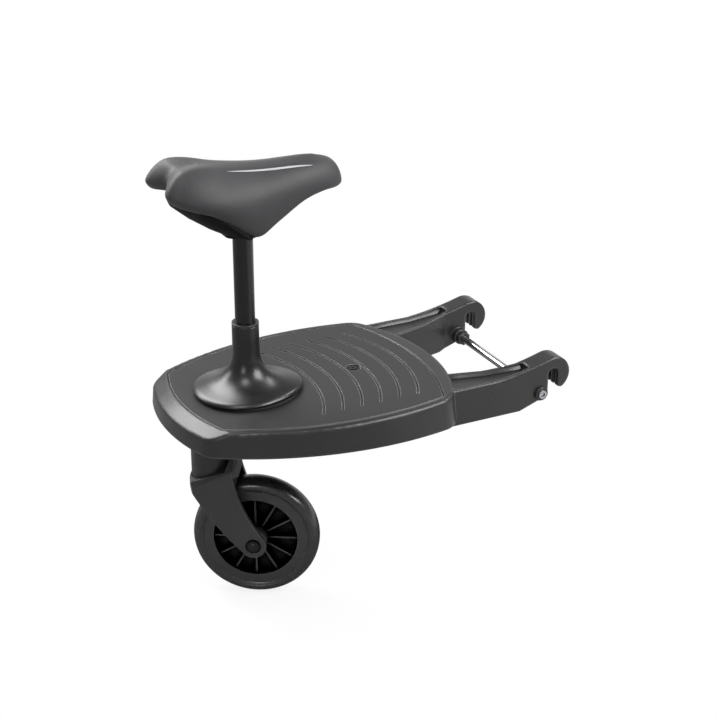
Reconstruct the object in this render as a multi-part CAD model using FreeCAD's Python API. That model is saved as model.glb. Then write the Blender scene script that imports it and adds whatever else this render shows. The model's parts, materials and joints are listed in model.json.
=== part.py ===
import FreeCAD, Part
import math
import os

# Ride-on board that hooks onto a pushchair's axle, with a saddle and one trailing caster.
# Millimetres. Origin midway between the two hooks, on the axis of the axle that they hold.
# +X points towards the pushchair, +Z up, and Y runs across the board.

# Cuts run past the faces that they open by this much
overrun = 2.0

# Deck outline, seen from above
tread_height = 6.0
deck_reach = 103.5
deck_length = 326.5
deck_width = 266.0
front_corner_shares = (0.1118, 0.917)
widest_share = 0.3292
tail_corner_shares = (0.9556, 0.6165)
front_corner_radius = 30.0
tail_corner_radius = 24.0

# Deck shell
shell_wall = 3.5
lip_width = 8.5
lip_round = 4.5
front_border_share = 0.06126
front_border_radius = 283.0
skirt_depth_front = 36.0
skirt_depth_tail = 28.0
skirt_flare = 3.0
tail_slope_width = 16.0
tail_slope_drop = 9.0
rib_thickness = 2.4
rib_depth = 17.0
rib_pitch = 44.0
rib_clearance = 1.0

# Tread plate
tread_thickness = 3.0
tread_gap = 0.9
tread_edge_bevel = 0.6
groove_count = 6
groove_pitch_share = 0.07106
groove_radius = 190.0
groove_span = 188.0
groove_width = 2.6
groove_depth = 1.4
groove_margin_share = 0.12619
tread_screw_dish_radius = 8.5
tread_screw_dish_depth = 2.0
tread_screw_head_height = 1.8

# Arms and hooks
arm_spacing = 189.0
arm_thickness = 26.0
arm_root_width = 46.0
arm_root_reach = 114.0
arm_taper_end = 36.0
arm_overlap = 48.0
arm_top_drop = 0.6
arm_depth = 44.0
arm_flat_end = 76.0
arm_rise_start_share = 0.245
arm_rise_back = 50.7
hook_seat_radius = 7.0
hook_outer_radius = 21.0
hook_lead = 1.5
hook_sink = 1.2
hook_crown_angle = 108.0
hook_tip_angle = -56.0
hook_mouth_depth = 17.0
arm_chamfer_back = 27.5
hook_slot_width = 3.6
hook_slot_depth = 5.5
hook_slot_pitch = 8.6
arm_pocket_wall = 3.8
arm_pocket_depth = 5.0
arm_pocket_start = 128.0
arm_pocket_end = 30.0
arm_pocket_corner = 5.5
arm_wall = 4.0
arm_round = 2.5
arm_core_end = 46.0
boss_tail_angle = -110.0

# Cross rod between the arms
rod_drop = 20.8
rod_radius = 4.5
rod_clearance = 0.1
rod_boss_radius = 9.5
rod_inner_boss_length = 8.0
rod_nut_flats = 15.0
rod_nut_thickness = 6.5
rod_washer_radius = 8.2
rod_washer_thickness = 3.6
rod_screw_radius = 2.5
rod_screw_length = 16.0
rod_screw_head_radius = 5.0
rod_screw_head_height = 2.0
rod_screw_socket_flats = 5.0
rod_screw_socket_depth = 1.5

# Screws that hold the mouldings together
screw_radius = 2.4
screw_head_radius = 4.6
screw_head_height = 2.6
screw_clearance = 0.3
screw_thread_clearance = 0.05
screw_head_round_share = 0.33
screw_recess_width = 1.2
screw_recess_depth = 1.2

# Seat boot
post_share = 0.70904
boot_height = 77.2
boot_neck_radius = 15.0
boot_neck_share = 0.56
boot_flange_radius = 61.0
boot_edge_height = 3.4
boot_waist_shares = (0.09, 0.26)
boot_knee_shares = (0.36, 0.125)
boot_brow_shares = (0.72, 0.05)
boot_floor = 8.0
gasket_thickness = 2.6
gasket_inset = 3.0
gasket_width = 26.0
boot_screw_circle = 42.0
boot_screw_count = 3
boot_screw_length = 13.0

# Seat post and its liner
post_radius = 11.1
post_wall = 1.6
liner_wall = 1.3
liner_seat_clearance = 0.05
liner_running_clearance = 0.08
liner_rim_thickness = 2.4
liner_foot_gap = 6.0
plug_thickness = 4.0
plug_spigot_length = 12.0
plug_clearance = 0.1

# Saddle
saddle_underside = 183.0
saddle_length = 214.5
saddle_width = 100.0
saddle_height = 92.0
saddle_setback = 99.0
saddle_station_shares = (0.0, 0.055, 0.13, 0.22, 0.34, 0.46, 0.60, 0.76, 0.90, 0.97, 1.0)
saddle_width_shares = (0.60, 0.84, 0.96, 1.0, 0.96, 0.84, 0.70, 0.60, 0.48, 0.32, 0.18)
saddle_crown_shares = (0.80, 0.95, 1.0, 0.985, 0.925, 0.88, 0.864, 0.864, 0.815, 0.70, 0.565)
saddle_shoulder_share = 0.62
saddle_waist_share = 0.70
saddle_flank_shares = (0.93, 0.5)
edge_rear_share = 0.59
edge_rear_bow_shares = (0.25, 0.405)
edge_low_share = 0.05
edge_front_bow_shares = (0.62, 0.215)
edge_front_shares = (0.80, 0.425)
edge_nose_share = 0.445
edge_clear_share = 1.5
notch_radius = 15.0
notch_depth = 24.0
pan_station_shares = (0.09, 0.17, 0.275, 0.385, 0.44, 0.495, 0.60, 0.72)
pan_width_shares = (0.30, 0.78, 0.80, 0.72, 0.68, 0.64, 0.55, 0.44)
pan_keel_shares = (0.475, 0.32, 0.155, 0.015, 0.0, 0.01, 0.13, 0.30)
pan_rim_shares = (0.55, 0.49, 0.37, 0.165, 0.06, 0.09, 0.21, 0.36)
seat_plate_length = 40.0
seat_plate_width = 32.0
seat_plate_thickness = 3.0
seat_plate_corner = 7.0
seat_plate_rise = 8.0
plate_screw_inset = 5.5
plate_screw_length = 12.0
pan_boss_height = 12.0
pan_boss_wall = 3.0
pan_boss_gap = 0.4
pan_boss_lip = 1.0
pan_cover_clearance = 0.3

# Caster housing and swivel
swivel_share = 0.84533
housing_radius = 23.8
housing_drop = 94.5
housing_flange_radius = 36.0
housing_flange_thickness = 4.0
housing_core_radius = 19.8
housing_tube_radius = 14.5
housing_core_floor = 16.0
housing_screw_circle = 29.5
housing_screw_count = 4
housing_screw_angle = 45.0
housing_screw_length = 7.0
kingpin_radius = 6.0
kingpin_head_radius = 9.5
kingpin_head_thickness = 3.5
swivel_bush_radius = 10.5
swivel_bush_length = 10.0
swivel_running_clearance = 0.05
swivel_gap = 0.5
kingpin_nut_flats = 17.0
kingpin_nut_thickness = 8.0
kingpin_washer_radius = 11.5
kingpin_washer_thickness = 1.5

# Caster fork, drawn trailing along +X before it is swung to its rest heading
rest_heading_angle = 31.3
trail = 48.0
wheel_top_drop = 96.8
fork_half_width = 32.0
leg_thickness = 6.0
leg_end_radius = 14.5
leg_front = 18.5
leg_front_drop = 105.0
leg_front_bow_share = 0.035
leg_rear = 26.5
leg_rear_drop = 82.0
leg_rear_bow_share = 0.065
crown_thickness = 7.0
crown_wheel_gap = 3.0
crown_front = 25.5
crown_front_depth = 5.0
crown_side_front = 18.5
guard_start = 18.0
guard_start_rise = 17.0
guard_rear = 28.0
guard_wall = 3.0
guard_rise = 35.5
bevel_front = 18.0
bevel_front_drop = 99.6
bevel_rear = 25.0
bevel_rear_drop = 77.0

# Wheel
wheel_radius = 72.2
tyre_width = 29.0
tyre_thickness = 13.5
tyre_shoulder_share = 0.52
rim_width = 25.0
rim_band = 10.5
rim_web = 3.0
rim_rib_count = 12
rim_rib_thickness = 1.8
rim_rib_recess = 3.5
hub_radius = 14.0
wheel_bearing_radius = 10.0
wheel_bearing_width = 7.0
wheel_seat_clearance = 0.05
axle_radius = 4.0
axle_running_clearance = 0.05
spacer_radius = 7.5
spacer_length = 2.2
wheel_side_gap = 0.3
axle_head_radius = 7.0
axle_head_height = 4.0
axle_recess_radius = 9.0
axle_recess_depth = 2.5
axle_socket_flats = 6.0
axle_socket_depth = 2.5
axle_nut_flats = 13.0
axle_nut_thickness = 5.5
axle_end = 1.5
tyre_seat_gap = 0.1

# Places that several pieces share
deck_front = -deck_reach
deck_tail = deck_front - deck_length
tread_floor = tread_height - tread_thickness
plate_low = tread_floor - shell_wall
groove_pitch = deck_length * groove_pitch_share
first_groove = deck_front - deck_length * groove_margin_share
half_width = deck_width / 2
arm_outer = (arm_spacing + arm_thickness) / 2
arm_inner = (arm_spacing - arm_thickness) / 2
rod_back = hook_seat_radius + rod_boss_radius
post_x = deck_front - deck_length * post_share
boot_base = tread_height + gasket_thickness
socket_floor = boot_base + boot_floor
saddle_base = tread_height + saddle_underside
plate_top = saddle_base + seat_plate_rise
plate_bottom = plate_top - seat_plate_thickness
swivel_x = deck_front - deck_length * swivel_share
housing_bottom = tread_height - housing_drop
crown_top = housing_bottom - swivel_gap
crown_bottom = crown_top - crown_thickness
axle_height = tread_height - wheel_top_drop - wheel_radius
leg_inner = fork_half_width - leg_thickness
spacer_inner = leg_inner - spacer_length
hub_half = spacer_inner - wheel_side_gap
tyre_inner_radius = wheel_radius - tyre_thickness
hex_corner_ratio = 1 / math.cos(math.pi / 6)


def point(x, y, z):
    """Point or direction in the board's frame."""
    return FreeCAD.Vector(x, y, z)


def upright(radius, low, high, x=0, y=0):
    """Upright cylinder between two heights."""
    return Part.makeCylinder(radius, high - low, point(x, y, low))


def crosswise(radius, start, end, x, z):
    """Cylinder along Y between two sides."""
    return Part.makeCylinder(radius, end - start, point(x, start, z), point(0, 1, 0))


def block(low, high):
    """Box between its lowest and highest corners."""
    size = high.sub(low)
    return Part.makeBox(size.x, size.y, size.z, low)


def line(start, end):
    """Straight edge."""
    return Part.LineSegment(start, end).toShape()


def arc(start, middle, end):
    """Round edge through three points."""
    return Part.Arc(start, middle, end).toShape()


def prism(edges, travel):
    """Solid swept straight from a closed chain of edges."""
    return Part.Face(Part.Wire(edges)).extrude(travel)


def turned(edges, x, y):
    """Solid turned about the upright axis through x and y, from edges drawn at y."""
    return Part.Face(Part.Wire(edges)).revolve(point(x, y, 0), point(0, 0, 1), 360)


def hexagon(flats, travel, centre, start_angle):
    """Hexagonal bar from its centre, across the flats, along its travel."""
    corner = flats / 2 * hex_corner_ratio
    axis = point(travel.x, travel.y, travel.z).normalize()
    first = point(0, 0, corner) if abs(axis.z) < abs(axis.y) + abs(axis.x) else point(corner, 0, 0)
    turns = [FreeCAD.Rotation(axis, start_angle + 60 * side) for side in range(6)]
    corners = [centre.add(turn.multVec(first)) for turn in turns]
    return Part.Face(Part.makePolygon(corners + corners[:1])).extrude(travel)


def ring_places(count, radius, x, y, first_angle):
    """Places evenly spaced on a circle."""
    angles = [math.radians(first_angle + 360 * number / count) for number in range(count)]
    return [(x + radius * math.cos(angle), y + radius * math.sin(angle)) for angle in angles]


def joined(shapes):
    """One solid from shapes that run into each other."""
    return shapes[0].multiFuse(shapes[1:]).removeSplitter()


def deck_corner(shares, side):
    """Corner of the deck outline before it is rounded."""
    along, across = shares
    return point(deck_front - deck_length * along, side * half_width * across, 0)


def outline_rounds():
    """Centre and radius of the outline's front, far side, tail and near side."""
    front = [deck_corner(front_corner_shares, side) for side in (-1, 1)]
    tail = [deck_corner(tail_corner_shares, side) for side in (-1, 1)]
    widest = deck_front - deck_length * widest_share
    rounds = [
        Part.Circle(front[0], point(deck_front, 0, 0), front[1]),
        Part.Circle(front[1], point(widest, half_width, 0), tail[1]),
        Part.Circle(tail[1], point(deck_tail, 0, 0), tail[0]),
        Part.Circle(tail[0], point(widest, -half_width, 0), front[0]),
    ]
    return [(sweep.Center, sweep.Radius) for sweep in rounds]


def corner_centre(first, second, radius, corner):
    """Centre of the rounding that touches two outline circles near their corner."""
    centre, first_radius = first
    other, second_radius = second
    ahead = other.sub(centre)
    distance = ahead.Length
    reach = first_radius - radius
    other_reach = second_radius - radius
    along = (distance ** 2 + reach ** 2 - other_reach ** 2) / (2 * distance)
    across = math.sqrt(reach ** 2 - along ** 2)
    ahead.normalize()
    spots = []
    for side in (-across, across):
        spots.append(centre.add(point(ahead.x * along - ahead.y * side, ahead.y * along + ahead.x * side, 0)))
    return min(spots, key=lambda spot: spot.sub(corner).Length)


def on_circle(centre, radius, towards):
    """Point on a circle in a direction."""
    return centre.add(point(towards.x, towards.y, 0).normalize().multiply(radius))


def deck_outline(offset, height):
    """Rounded outline of the deck, grown or shrunk by an offset, at a height."""
    rounds = outline_rounds()
    corners = [
        (deck_corner(front_corner_shares, 1), front_corner_radius),
        (deck_corner(tail_corner_shares, 1), tail_corner_radius),
        (deck_corner(tail_corner_shares, -1), tail_corner_radius),
        (deck_corner(front_corner_shares, -1), front_corner_radius),
    ]
    centres = []
    for number, (corner, radius) in enumerate(corners):
        after = rounds[(number + 1) % len(rounds)]
        centres.append(corner_centre(rounds[number], after, radius, corner))
    edges = []
    for number, (centre, radius) in enumerate(rounds):
        start = centres[number - 1].sub(centre).normalize()
        end = centres[number].sub(centre).normalize()
        reach = radius + offset
        edges.append(arc(on_circle(centre, reach, start), on_circle(centre, reach, start.add(end)),
                         on_circle(centre, reach, end)))
        after = centres[number].sub(rounds[(number + 1) % len(rounds)][0]).normalize()
        corner_reach = corners[number][1] + offset
        edges.append(arc(on_circle(centres[number], corner_reach, end),
                         on_circle(centres[number], corner_reach, end.add(after)),
                         on_circle(centres[number], corner_reach, after)))
    return Part.Wire(edges).translated(point(0, 0, height))


def deck_slab(offset_high, high, offset_low, low):
    """Deck outline drawn out between two heights, with a flare between them."""
    if offset_high == offset_low:
        return Part.Face(deck_outline(offset_low, low)).extrude(point(0, 0, high - low))
    wires = [deck_outline(offset_low, low), deck_outline(offset_high, high)]
    return Part.makeLoft(wires, True, True)


def tail_arc():
    """Place along the deck of the round tail's centre, and its radius."""
    centre, radius = outline_rounds()[2]
    return centre.x, radius


def tail_slope():
    """Ring that cuts the sloping step at the tail."""
    centre, radius = tail_arc()
    start = radius - tail_slope_width
    end = radius + skirt_flare + overrun
    fall = tail_slope_drop * (end - start) / tail_slope_width
    top = tread_height + overrun
    corners = [
        point(centre + start, 0, tread_height),
        point(centre + end, 0, tread_height - fall),
        point(centre + end, 0, top),
        point(centre + start, 0, top),
    ]
    edges = [line(corners[number - 1], corners[number]) for number in range(len(corners))]
    return turned(edges, centre, 0).common(tail_half(tread_height - 2 * fall, top + overrun))


def tail_half(low, high):
    """Block behind the centre of the round tail."""
    centre, radius = tail_arc()
    reach = radius + skirt_flare + 2 * overrun
    return block(point(centre - reach, -reach, low), point(centre, reach, high))


def tread_field(offset, low, high):
    """Flat area inside the lip, from the front border to the start of the tail's slope."""
    centre, radius = tail_arc()
    slab = deck_slab(offset - lip_width, high, offset - lip_width, low)
    border = deck_front - deck_length * front_border_share - front_border_radius
    slab = slab.common(upright(front_border_radius + offset, low - overrun, high + overrun, border))
    inside = upright(radius - tail_slope_width + offset, low - 2 * overrun, high + 2 * overrun, centre)
    return slab.cut(tail_half(low - overrun, high + overrun).cut(inside))


def skirt_trim():
    """Wedge below the skirt's slanting lower edge."""
    back = deck_tail - skirt_flare - overrun
    front = deck_front + skirt_flare + overrun
    deepest = tread_height - max(skirt_depth_front, skirt_depth_tail) - arm_depth
    corners = [
        point(back, -deck_width, tread_height - skirt_depth_tail),
        point(front, -deck_width, tread_height - skirt_depth_front),
        point(front, -deck_width, deepest),
        point(back, -deck_width, deepest),
    ]
    edges = [line(corners[number - 1], corners[number]) for number in range(len(corners))]
    return prism(edges, point(0, 2 * deck_width, 0))


def deck_ribs(cavity):
    """Grid of ribs under the deck, inside the skirt."""
    low = plate_low - rib_depth
    bars = []
    along = int(deck_length / rib_pitch)
    for number in range(1, along + 1):
        x = deck_front - number * deck_length / (along + 1)
        corner = point(x - rib_thickness / 2, -half_width, low)
        bars.append(block(corner, point(x + rib_thickness / 2, half_width, plate_low)))
    across = int(deck_width / rib_pitch)
    for number in range(1, across + 1):
        y = -half_width + number * deck_width / (across + 1)
        corner = point(deck_tail, y - rib_thickness / 2, low)
        bars.append(block(corner, point(deck_front, y + rib_thickness / 2, plate_low)))
    return bars[0].multiFuse(bars[1:]).common(cavity)


def arm_profile():
    """Side outline of an arm, from its root under the deck round its hook."""
    root = deck_front - arm_overlap
    top = tread_height - arm_top_drop
    low = tread_height - arm_depth
    centre = point(hook_lead, -arm_outer, -hook_sink)
    boss = point(-rod_back, -arm_outer, -rod_drop)

    def on_hook(angle):
        turn = math.radians(angle)
        reach = point(math.cos(turn), 0, math.sin(turn)).multiply(hook_outer_radius)
        return centre.add(reach)

    def on_boss(angle):
        turn = math.radians(angle)
        reach = point(math.cos(turn), 0, math.sin(turn)).multiply(rod_boss_radius)
        return boss.add(reach)

    flat_end = point(-arm_flat_end, -arm_outer, top)
    crown = on_hook(hook_crown_angle)
    rise = top + (crown.z - top) * arm_rise_start_share
    tip = on_hook(hook_tip_angle)
    inner_tip = point(hook_seat_radius, -arm_outer, -hook_mouth_depth)
    seat_front = point(hook_seat_radius, -arm_outer, 0)
    seat_back = point(-hook_seat_radius, -arm_outer, 0)
    mouth_back = on_boss(0)
    chamfer_end = point(-rod_back - arm_chamfer_back, -arm_outer, low)
    boss_low = on_boss(boss_tail_angle)
    return [
        line(point(root, -arm_outer, low), point(root, -arm_outer, top)),
        line(point(root, -arm_outer, top), flat_end),
        arc(flat_end, point(-arm_rise_back, -arm_outer, rise), crown),
        arc(crown, on_hook((hook_crown_angle + hook_tip_angle) / 2), tip),
        line(tip, inner_tip),
        line(inner_tip, seat_front),
        arc(seat_front, point(0, -arm_outer, hook_seat_radius), seat_back),
        line(seat_back, mouth_back),
        arc(mouth_back, on_boss(boss_tail_angle / 2), boss_low),
        line(boss_low, chamfer_end),
        line(chamfer_end, point(root, -arm_outer, low)),
    ]


def arm_plan(inset, front, back, low, high):
    """Upright block with the arm's tapering plan, shrunk by an inset, on the near side."""
    bends = [spot for spot in (-arm_root_reach, -arm_taper_end) if back < spot < front]
    stations = [back] + bends + [front]
    corners = [point(back, -arm_outer + inset, low), point(front, -arm_outer + inset, low)]
    for station in reversed(stations):
        corners.append(point(station, -inner_side(station) - inset, low))
    edges = [line(corners[number - 1], corners[number]) for number in range(len(corners))]
    return prism(edges, point(0, 0, high - low))


def inner_side(x):
    """Distance of the arm's inner face from the middle at a place along it."""
    root_inner = arm_outer - arm_root_width
    share = (x + arm_root_reach) / (arm_root_reach - arm_taper_end)
    return root_inner + (arm_inner - root_inner) * min(max(share, 0), 1)


def arm_pocket():
    """Long trough in the top of the near arm, from the deck's front edge to the hook."""
    floor = tread_height - arm_top_drop - arm_pocket_depth
    high = hook_outer_radius + tread_height
    pocket = arm_plan(arm_pocket_wall, -arm_pocket_end, -arm_pocket_start, floor, high)
    ends = [edge for edge in pocket.Edges if edge.BoundBox.XMin > -arm_pocket_end - overrun]
    corners = [edge for edge in ends if edge.BoundBox.ZLength > arm_pocket_depth]
    pocket = pocket.makeFillet(arm_pocket_corner, corners)
    tilt = math.degrees(math.atan2(hook_outer_radius - hook_sink - tread_height + arm_top_drop, arm_flat_end))
    ramp_start = point(-arm_flat_end, 0, floor)
    ramp_low = point(-arm_flat_end, -deck_width, floor - hook_outer_radius)
    keep = block(ramp_low, point(arm_flat_end, deck_width, floor))
    keep.rotate(ramp_start, point(0, -1, 0), tilt / 2)
    return pocket.cut(keep)


def near_arm():
    """Arm on the near side with its hook, pocket, core and rod bosses."""
    low = tread_height - arm_depth
    arm = prism(arm_profile(), point(0, arm_root_width, 0))
    reach = hook_lead + hook_outer_radius + overrun
    arm = arm.common(arm_plan(0, reach, deck_front - arm_overlap, low, hook_outer_radius + tread_height))
    arm = arm.makeFillet(arm_round, [edge for edge in arm.Edges if on_arm_rim(edge)])
    inner_boss = crosswise(rod_boss_radius, -arm_inner - arm_wall, -arm_inner + rod_inner_boss_length,
                           -rod_back, -rod_drop)
    arm = joined([arm, inner_boss])
    core_top = tread_height - arm_top_drop - arm_pocket_depth - arm_wall
    core_back = deck_front - arm_overlap + arm_wall
    core = arm_plan(arm_wall, -arm_core_end, core_back, low - overrun, core_top)
    arm = arm.cut(core)
    arm = arm.cut(arm_pocket())
    bore = crosswise(rod_radius + rod_clearance, -arm_outer - overrun,
                     -arm_inner + rod_inner_boss_length + overrun, -rod_back, -rod_drop)
    return arm.cut(bore).cut(hook_slots())


def on_arm_rim(edge):
    """True for the long edges along the top of an arm and round its hook."""
    middle = edge.valueAt((edge.FirstParameter + edge.LastParameter) / 2)
    bounds = edge.BoundBox
    on_top = bounds.ZMin > tread_height - arm_top_drop - lip_round
    on_hook = middle.x > hook_seat_radius and middle.z > -hook_mouth_depth
    return bounds.XLength > overrun and (on_top or on_hook)


def hook_slots():
    """Two slots that part the hook's inner wall into three lamellas."""
    slots = []
    low = -hook_outer_radius - hook_sink - overrun
    for side in (-1, 1):
        middle = -arm_spacing / 2 + side * hook_slot_pitch / 2
        near = middle - hook_slot_width / 2
        slots.append(block(
            point(0, near, low),
            point(hook_seat_radius + hook_slot_depth, near + hook_slot_width, 0)))
    return slots[0].multiFuse(slots[1:])


def mirrored(shape):
    """The same shape on the far side."""
    return shape.mirror(point(0, 0, 0), point(0, 1, 0))


def board_shell():
    """Moulded deck with its skirt, ribs, arms and hooks."""
    low = tread_height - max(skirt_depth_front, skirt_depth_tail)
    deck = deck_slab(0, tread_height, skirt_flare, low)
    deck = deck.cut(tail_slope())
    rim = [edge for edge in deck.Edges if on_top_rim(edge, low)]
    deck = deck.makeFillet(lip_round, rim)
    deck = deck.cut(skirt_trim())
    cavity = deck_slab(-shell_wall, plate_low, skirt_flare - shell_wall, low - overrun)
    cavity_roof = tail_cavity_roof()
    cavity = cavity.cut(cavity_roof)
    ribs = deck_ribs(cavity)
    deck = deck.cut(cavity)
    arm = near_arm()
    trimmed_ribs = ribs.cut(skirt_trim()).cut(rib_room())
    shell = joined([deck, trimmed_ribs, arm, mirrored(arm)])
    shell = shell.cut(tread_field(0, tread_floor, tread_height + overrun))
    return shell.cut(deck_holes())


def on_top_rim(edge, low):
    """True for the edges round the upper rim of the deck slab."""
    heights = [vertex.Point.z for vertex in edge.Vertexes]
    if min(heights) < low + (tread_height - low) / 3:
        return False
    middle = edge.valueAt((edge.FirstParameter + edge.LastParameter) / 2)
    centre, radius = tail_arc()
    inner_start = math.hypot(middle.x - centre, middle.y) - (radius - tail_slope_width)
    return abs(inner_start) > tread_gap or middle.z < tread_height - lip_round


def tail_cavity_roof():
    """Wall left under the tail's slope inside the skirt."""
    slope = tail_slope()
    slope.translate(point(0, 0, -shell_wall))
    return slope


def rib_room():
    """Room among the ribs for the caster housing and the boot's screws."""
    low = plate_low - rib_depth - overrun
    rooms = [upright(housing_flange_radius + rib_clearance, low, plate_low, swivel_x)]
    for x, y in boot_screw_places():
        rooms.append(upright(screw_head_radius + rib_clearance, low, plate_low, x, y))
    x = tread_screw_x()
    rooms.append(upright(screw_head_radius + rib_clearance, low, plate_low, x))
    return rooms[0].multiFuse(rooms[1:])


def boot_screw_places():
    """Places of the screws under the boot."""
    return ring_places(boot_screw_count, boot_screw_circle, post_x, 0, 0)


def housing_screw_places():
    """Places of the screws into the caster housing."""
    return ring_places(housing_screw_count, housing_screw_circle, swivel_x, 0, housing_screw_angle)


def tread_screw_x():
    """Place of the tread screw, between the two middle grooves."""
    return first_groove - groove_pitch * (groove_count - 1) / 2


def deck_holes():
    """Screw holes through the deck."""
    hole = screw_radius + screw_clearance
    low = plate_low - overrun
    holes = [upright(hole, low, tread_height, x, y) for x, y in boot_screw_places()]
    head_floor = tread_floor - screw_head_height
    for x, y in housing_screw_places():
        holes.append(upright(hole, low, tread_floor + overrun, x, y))
        head = screw_head_radius + screw_clearance
        holes.append(upright(head, head_floor, tread_floor + overrun, x, y))
    holes.append(upright(screw_radius + screw_thread_clearance, low, tread_height, tread_screw_x()))
    return holes[0].multiFuse(holes[1:])


def groove(number):
    """One curved groove across the tread, with round ends."""
    floor = tread_height - groove_depth
    centre = point(first_groove - number * groove_pitch - groove_radius, 0, floor)
    half = groove_width / 2
    swing = math.asin(groove_span / 2 / groove_radius)

    def on_ring(radius, angle):
        return centre.add(point(radius * math.cos(angle), radius * math.sin(angle), 0))

    def end_tip(side):
        past = point(-side * math.sin(side * swing), side * math.cos(swing), 0)
        return on_ring(groove_radius, side * swing).add(past.multiply(half))

    outer = [on_ring(groove_radius + half, angle) for angle in (-swing, 0, swing)]
    inner = [on_ring(groove_radius - half, angle) for angle in (swing, 0, -swing)]
    edges = [
        arc(*outer),
        arc(outer[2], end_tip(1), inner[0]),
        arc(*inner),
        arc(inner[2], end_tip(-1), outer[0]),
    ]
    return prism(edges, point(0, 0, groove_depth + overrun))


def tread_plate():
    """Anti-slip plate let into the deck, with its grooves and screw dish."""
    plate = tread_field(-tread_gap, tread_floor, tread_height)
    rim = [edge for edge in plate.Edges if edge.BoundBox.ZMin > tread_height - tread_edge_bevel]
    plate = plate.makeChamfer(tread_edge_bevel, rim)
    for number in range(groove_count):
        plate = plate.cut(groove(number))
    hole = screw_radius + screw_clearance
    for x, y in boot_screw_places():
        plate = plate.cut(upright(hole, tread_floor - overrun, tread_height + overrun, x, y))
    x = tread_screw_x()
    dish_floor = tread_height - tread_screw_dish_depth
    plate = plate.cut(upright(tread_screw_dish_radius, dish_floor, tread_height + overrun, x))
    return plate.cut(upright(hole, tread_floor - overrun, tread_height, x))


def screw_up(length, head_height):
    """Screw standing head down under the origin, with a crossed recess, reaching up by its length."""
    shank = upright(screw_radius, 0, length)
    head = upright(screw_head_radius, -head_height, 0)
    rim = [edge for edge in head.Edges if edge.BoundBox.ZMax < -head_height / 2]
    head = head.makeFillet(head_height * screw_head_round_share, rim)
    screw = joined([shank, head])
    reach = screw_head_radius / 2
    half = screw_recess_width / 2
    for turn in (0, 90):
        bar = block(point(-reach, -half, -head_height - overrun),
                    point(reach, half, -head_height + screw_recess_depth))
        bar.rotate(point(0, 0, 0), point(0, 0, 1), turn)
        screw = screw.cut(bar)
    return screw


def screws_up(places, grip, length):
    """Group of screws driven upwards, with their heads under a height."""
    shapes = []
    for x, y in places:
        screw = screw_up(length, screw_head_height)
        screw.translate(point(x, y, grip))
        shapes.append(screw)
    return Part.makeCompound(shapes)


def screws_down(places, grip, length, head_height):
    """Group of screws driven downwards, with their heads on a height."""
    shapes = []
    for x, y in places:
        screw = screw_up(length, head_height)
        screw.rotate(point(0, 0, 0), point(1, 0, 0), 180)
        screw.translate(point(x, y, grip))
        shapes.append(screw)
    return Part.makeCompound(shapes)


def tread_screw():
    """Flat-headed screw in the tread's dish."""
    grip = tread_height - tread_screw_dish_depth
    return screws_down([(tread_screw_x(), 0)], grip, tread_thickness + shell_wall, tread_screw_head_height)


def housing_screws():
    """Screws through the deck into the caster housing, under the tread plate."""
    grip = tread_floor - screw_head_height
    return screws_down(housing_screw_places(), grip, housing_screw_length, screw_head_height)


def boot_profile():
    """Half outline of the boot's outside, from its foot to its neck."""
    foot = point(post_x + boot_flange_radius, 0, boot_base)
    edge = point(post_x + boot_flange_radius, 0, boot_base + boot_edge_height)
    spread = boot_flange_radius - boot_neck_radius

    def spot(shares):
        out, up = shares
        radius = boot_neck_radius + spread * out
        return point(post_x + radius, 0, boot_base + boot_edge_height + boot_height * up)

    neck = point(post_x + boot_neck_radius, 0, boot_base + boot_height * boot_neck_share)
    rim = point(post_x + boot_neck_radius, 0, boot_base + boot_height)
    knee = spot(boot_knee_shares)
    return [
        line(point(post_x, 0, boot_base), foot),
        line(foot, edge),
        arc(edge, spot(boot_brow_shares), knee),
        arc(knee, spot(boot_waist_shares), neck),
        line(neck, rim),
        line(rim, point(post_x, 0, rim.z)),
        line(point(post_x, 0, rim.z), point(post_x, 0, boot_base)),
    ]


def liner_outer():
    """Outside radius of the post's liner."""
    return post_radius + liner_running_clearance + liner_wall


def seat_boot():
    """Flared socket that stands on the tread and holds the post."""
    boot = turned(boot_profile(), post_x, 0)
    top = boot_base + boot_height
    bore = upright(liner_outer() + liner_seat_clearance, socket_floor, top + overrun, post_x)
    boot = boot.cut(bore)
    pilot = screw_radius + screw_thread_clearance
    depth = plate_low + boot_screw_length + screw_clearance
    for x, y in boot_screw_places():
        boot = boot.cut(upright(pilot, boot_base - overrun, depth, x, y))
    return boot


def boot_gasket():
    """Rubber ring between the boot's foot and the tread."""
    outer = boot_flange_radius - gasket_inset
    ring = upright(outer, tread_height, boot_base, post_x)
    ring = ring.cut(upright(outer - gasket_width, tread_height - overrun, boot_base + overrun, post_x))
    hole = screw_radius + screw_clearance
    for x, y in boot_screw_places():
        ring = ring.cut(upright(hole, tread_height - overrun, boot_base + overrun, x, y))
    return ring


def post_liner():
    """Plastic sleeve in the boot's bore with a rim on its mouth."""
    top = boot_base + boot_height
    sleeve = upright(liner_outer(), socket_floor + liner_foot_gap, top, post_x)
    rim = upright(boot_neck_radius, top, top + liner_rim_thickness, post_x)
    liner = joined([sleeve, rim])
    bore = post_radius + liner_running_clearance
    return liner.cut(upright(bore, socket_floor - overrun, top + liner_rim_thickness + overrun, post_x))


def seat_post():
    """Tube that carries the saddle."""
    low = socket_floor + plug_thickness
    tube = upright(post_radius, low, plate_bottom, post_x)
    return tube.cut(upright(post_radius - post_wall, low - overrun, plate_bottom + overrun, post_x))


def post_plug():
    """Plug in the foot of the post, which rests on the socket's floor."""
    cap_top = socket_floor + plug_thickness
    cap = upright(post_radius, socket_floor, cap_top, post_x)
    spigot_radius = post_radius - post_wall - plug_clearance
    spigot = upright(spigot_radius, socket_floor, cap_top + plug_spigot_length, post_x)
    return joined([cap, spigot])


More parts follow.
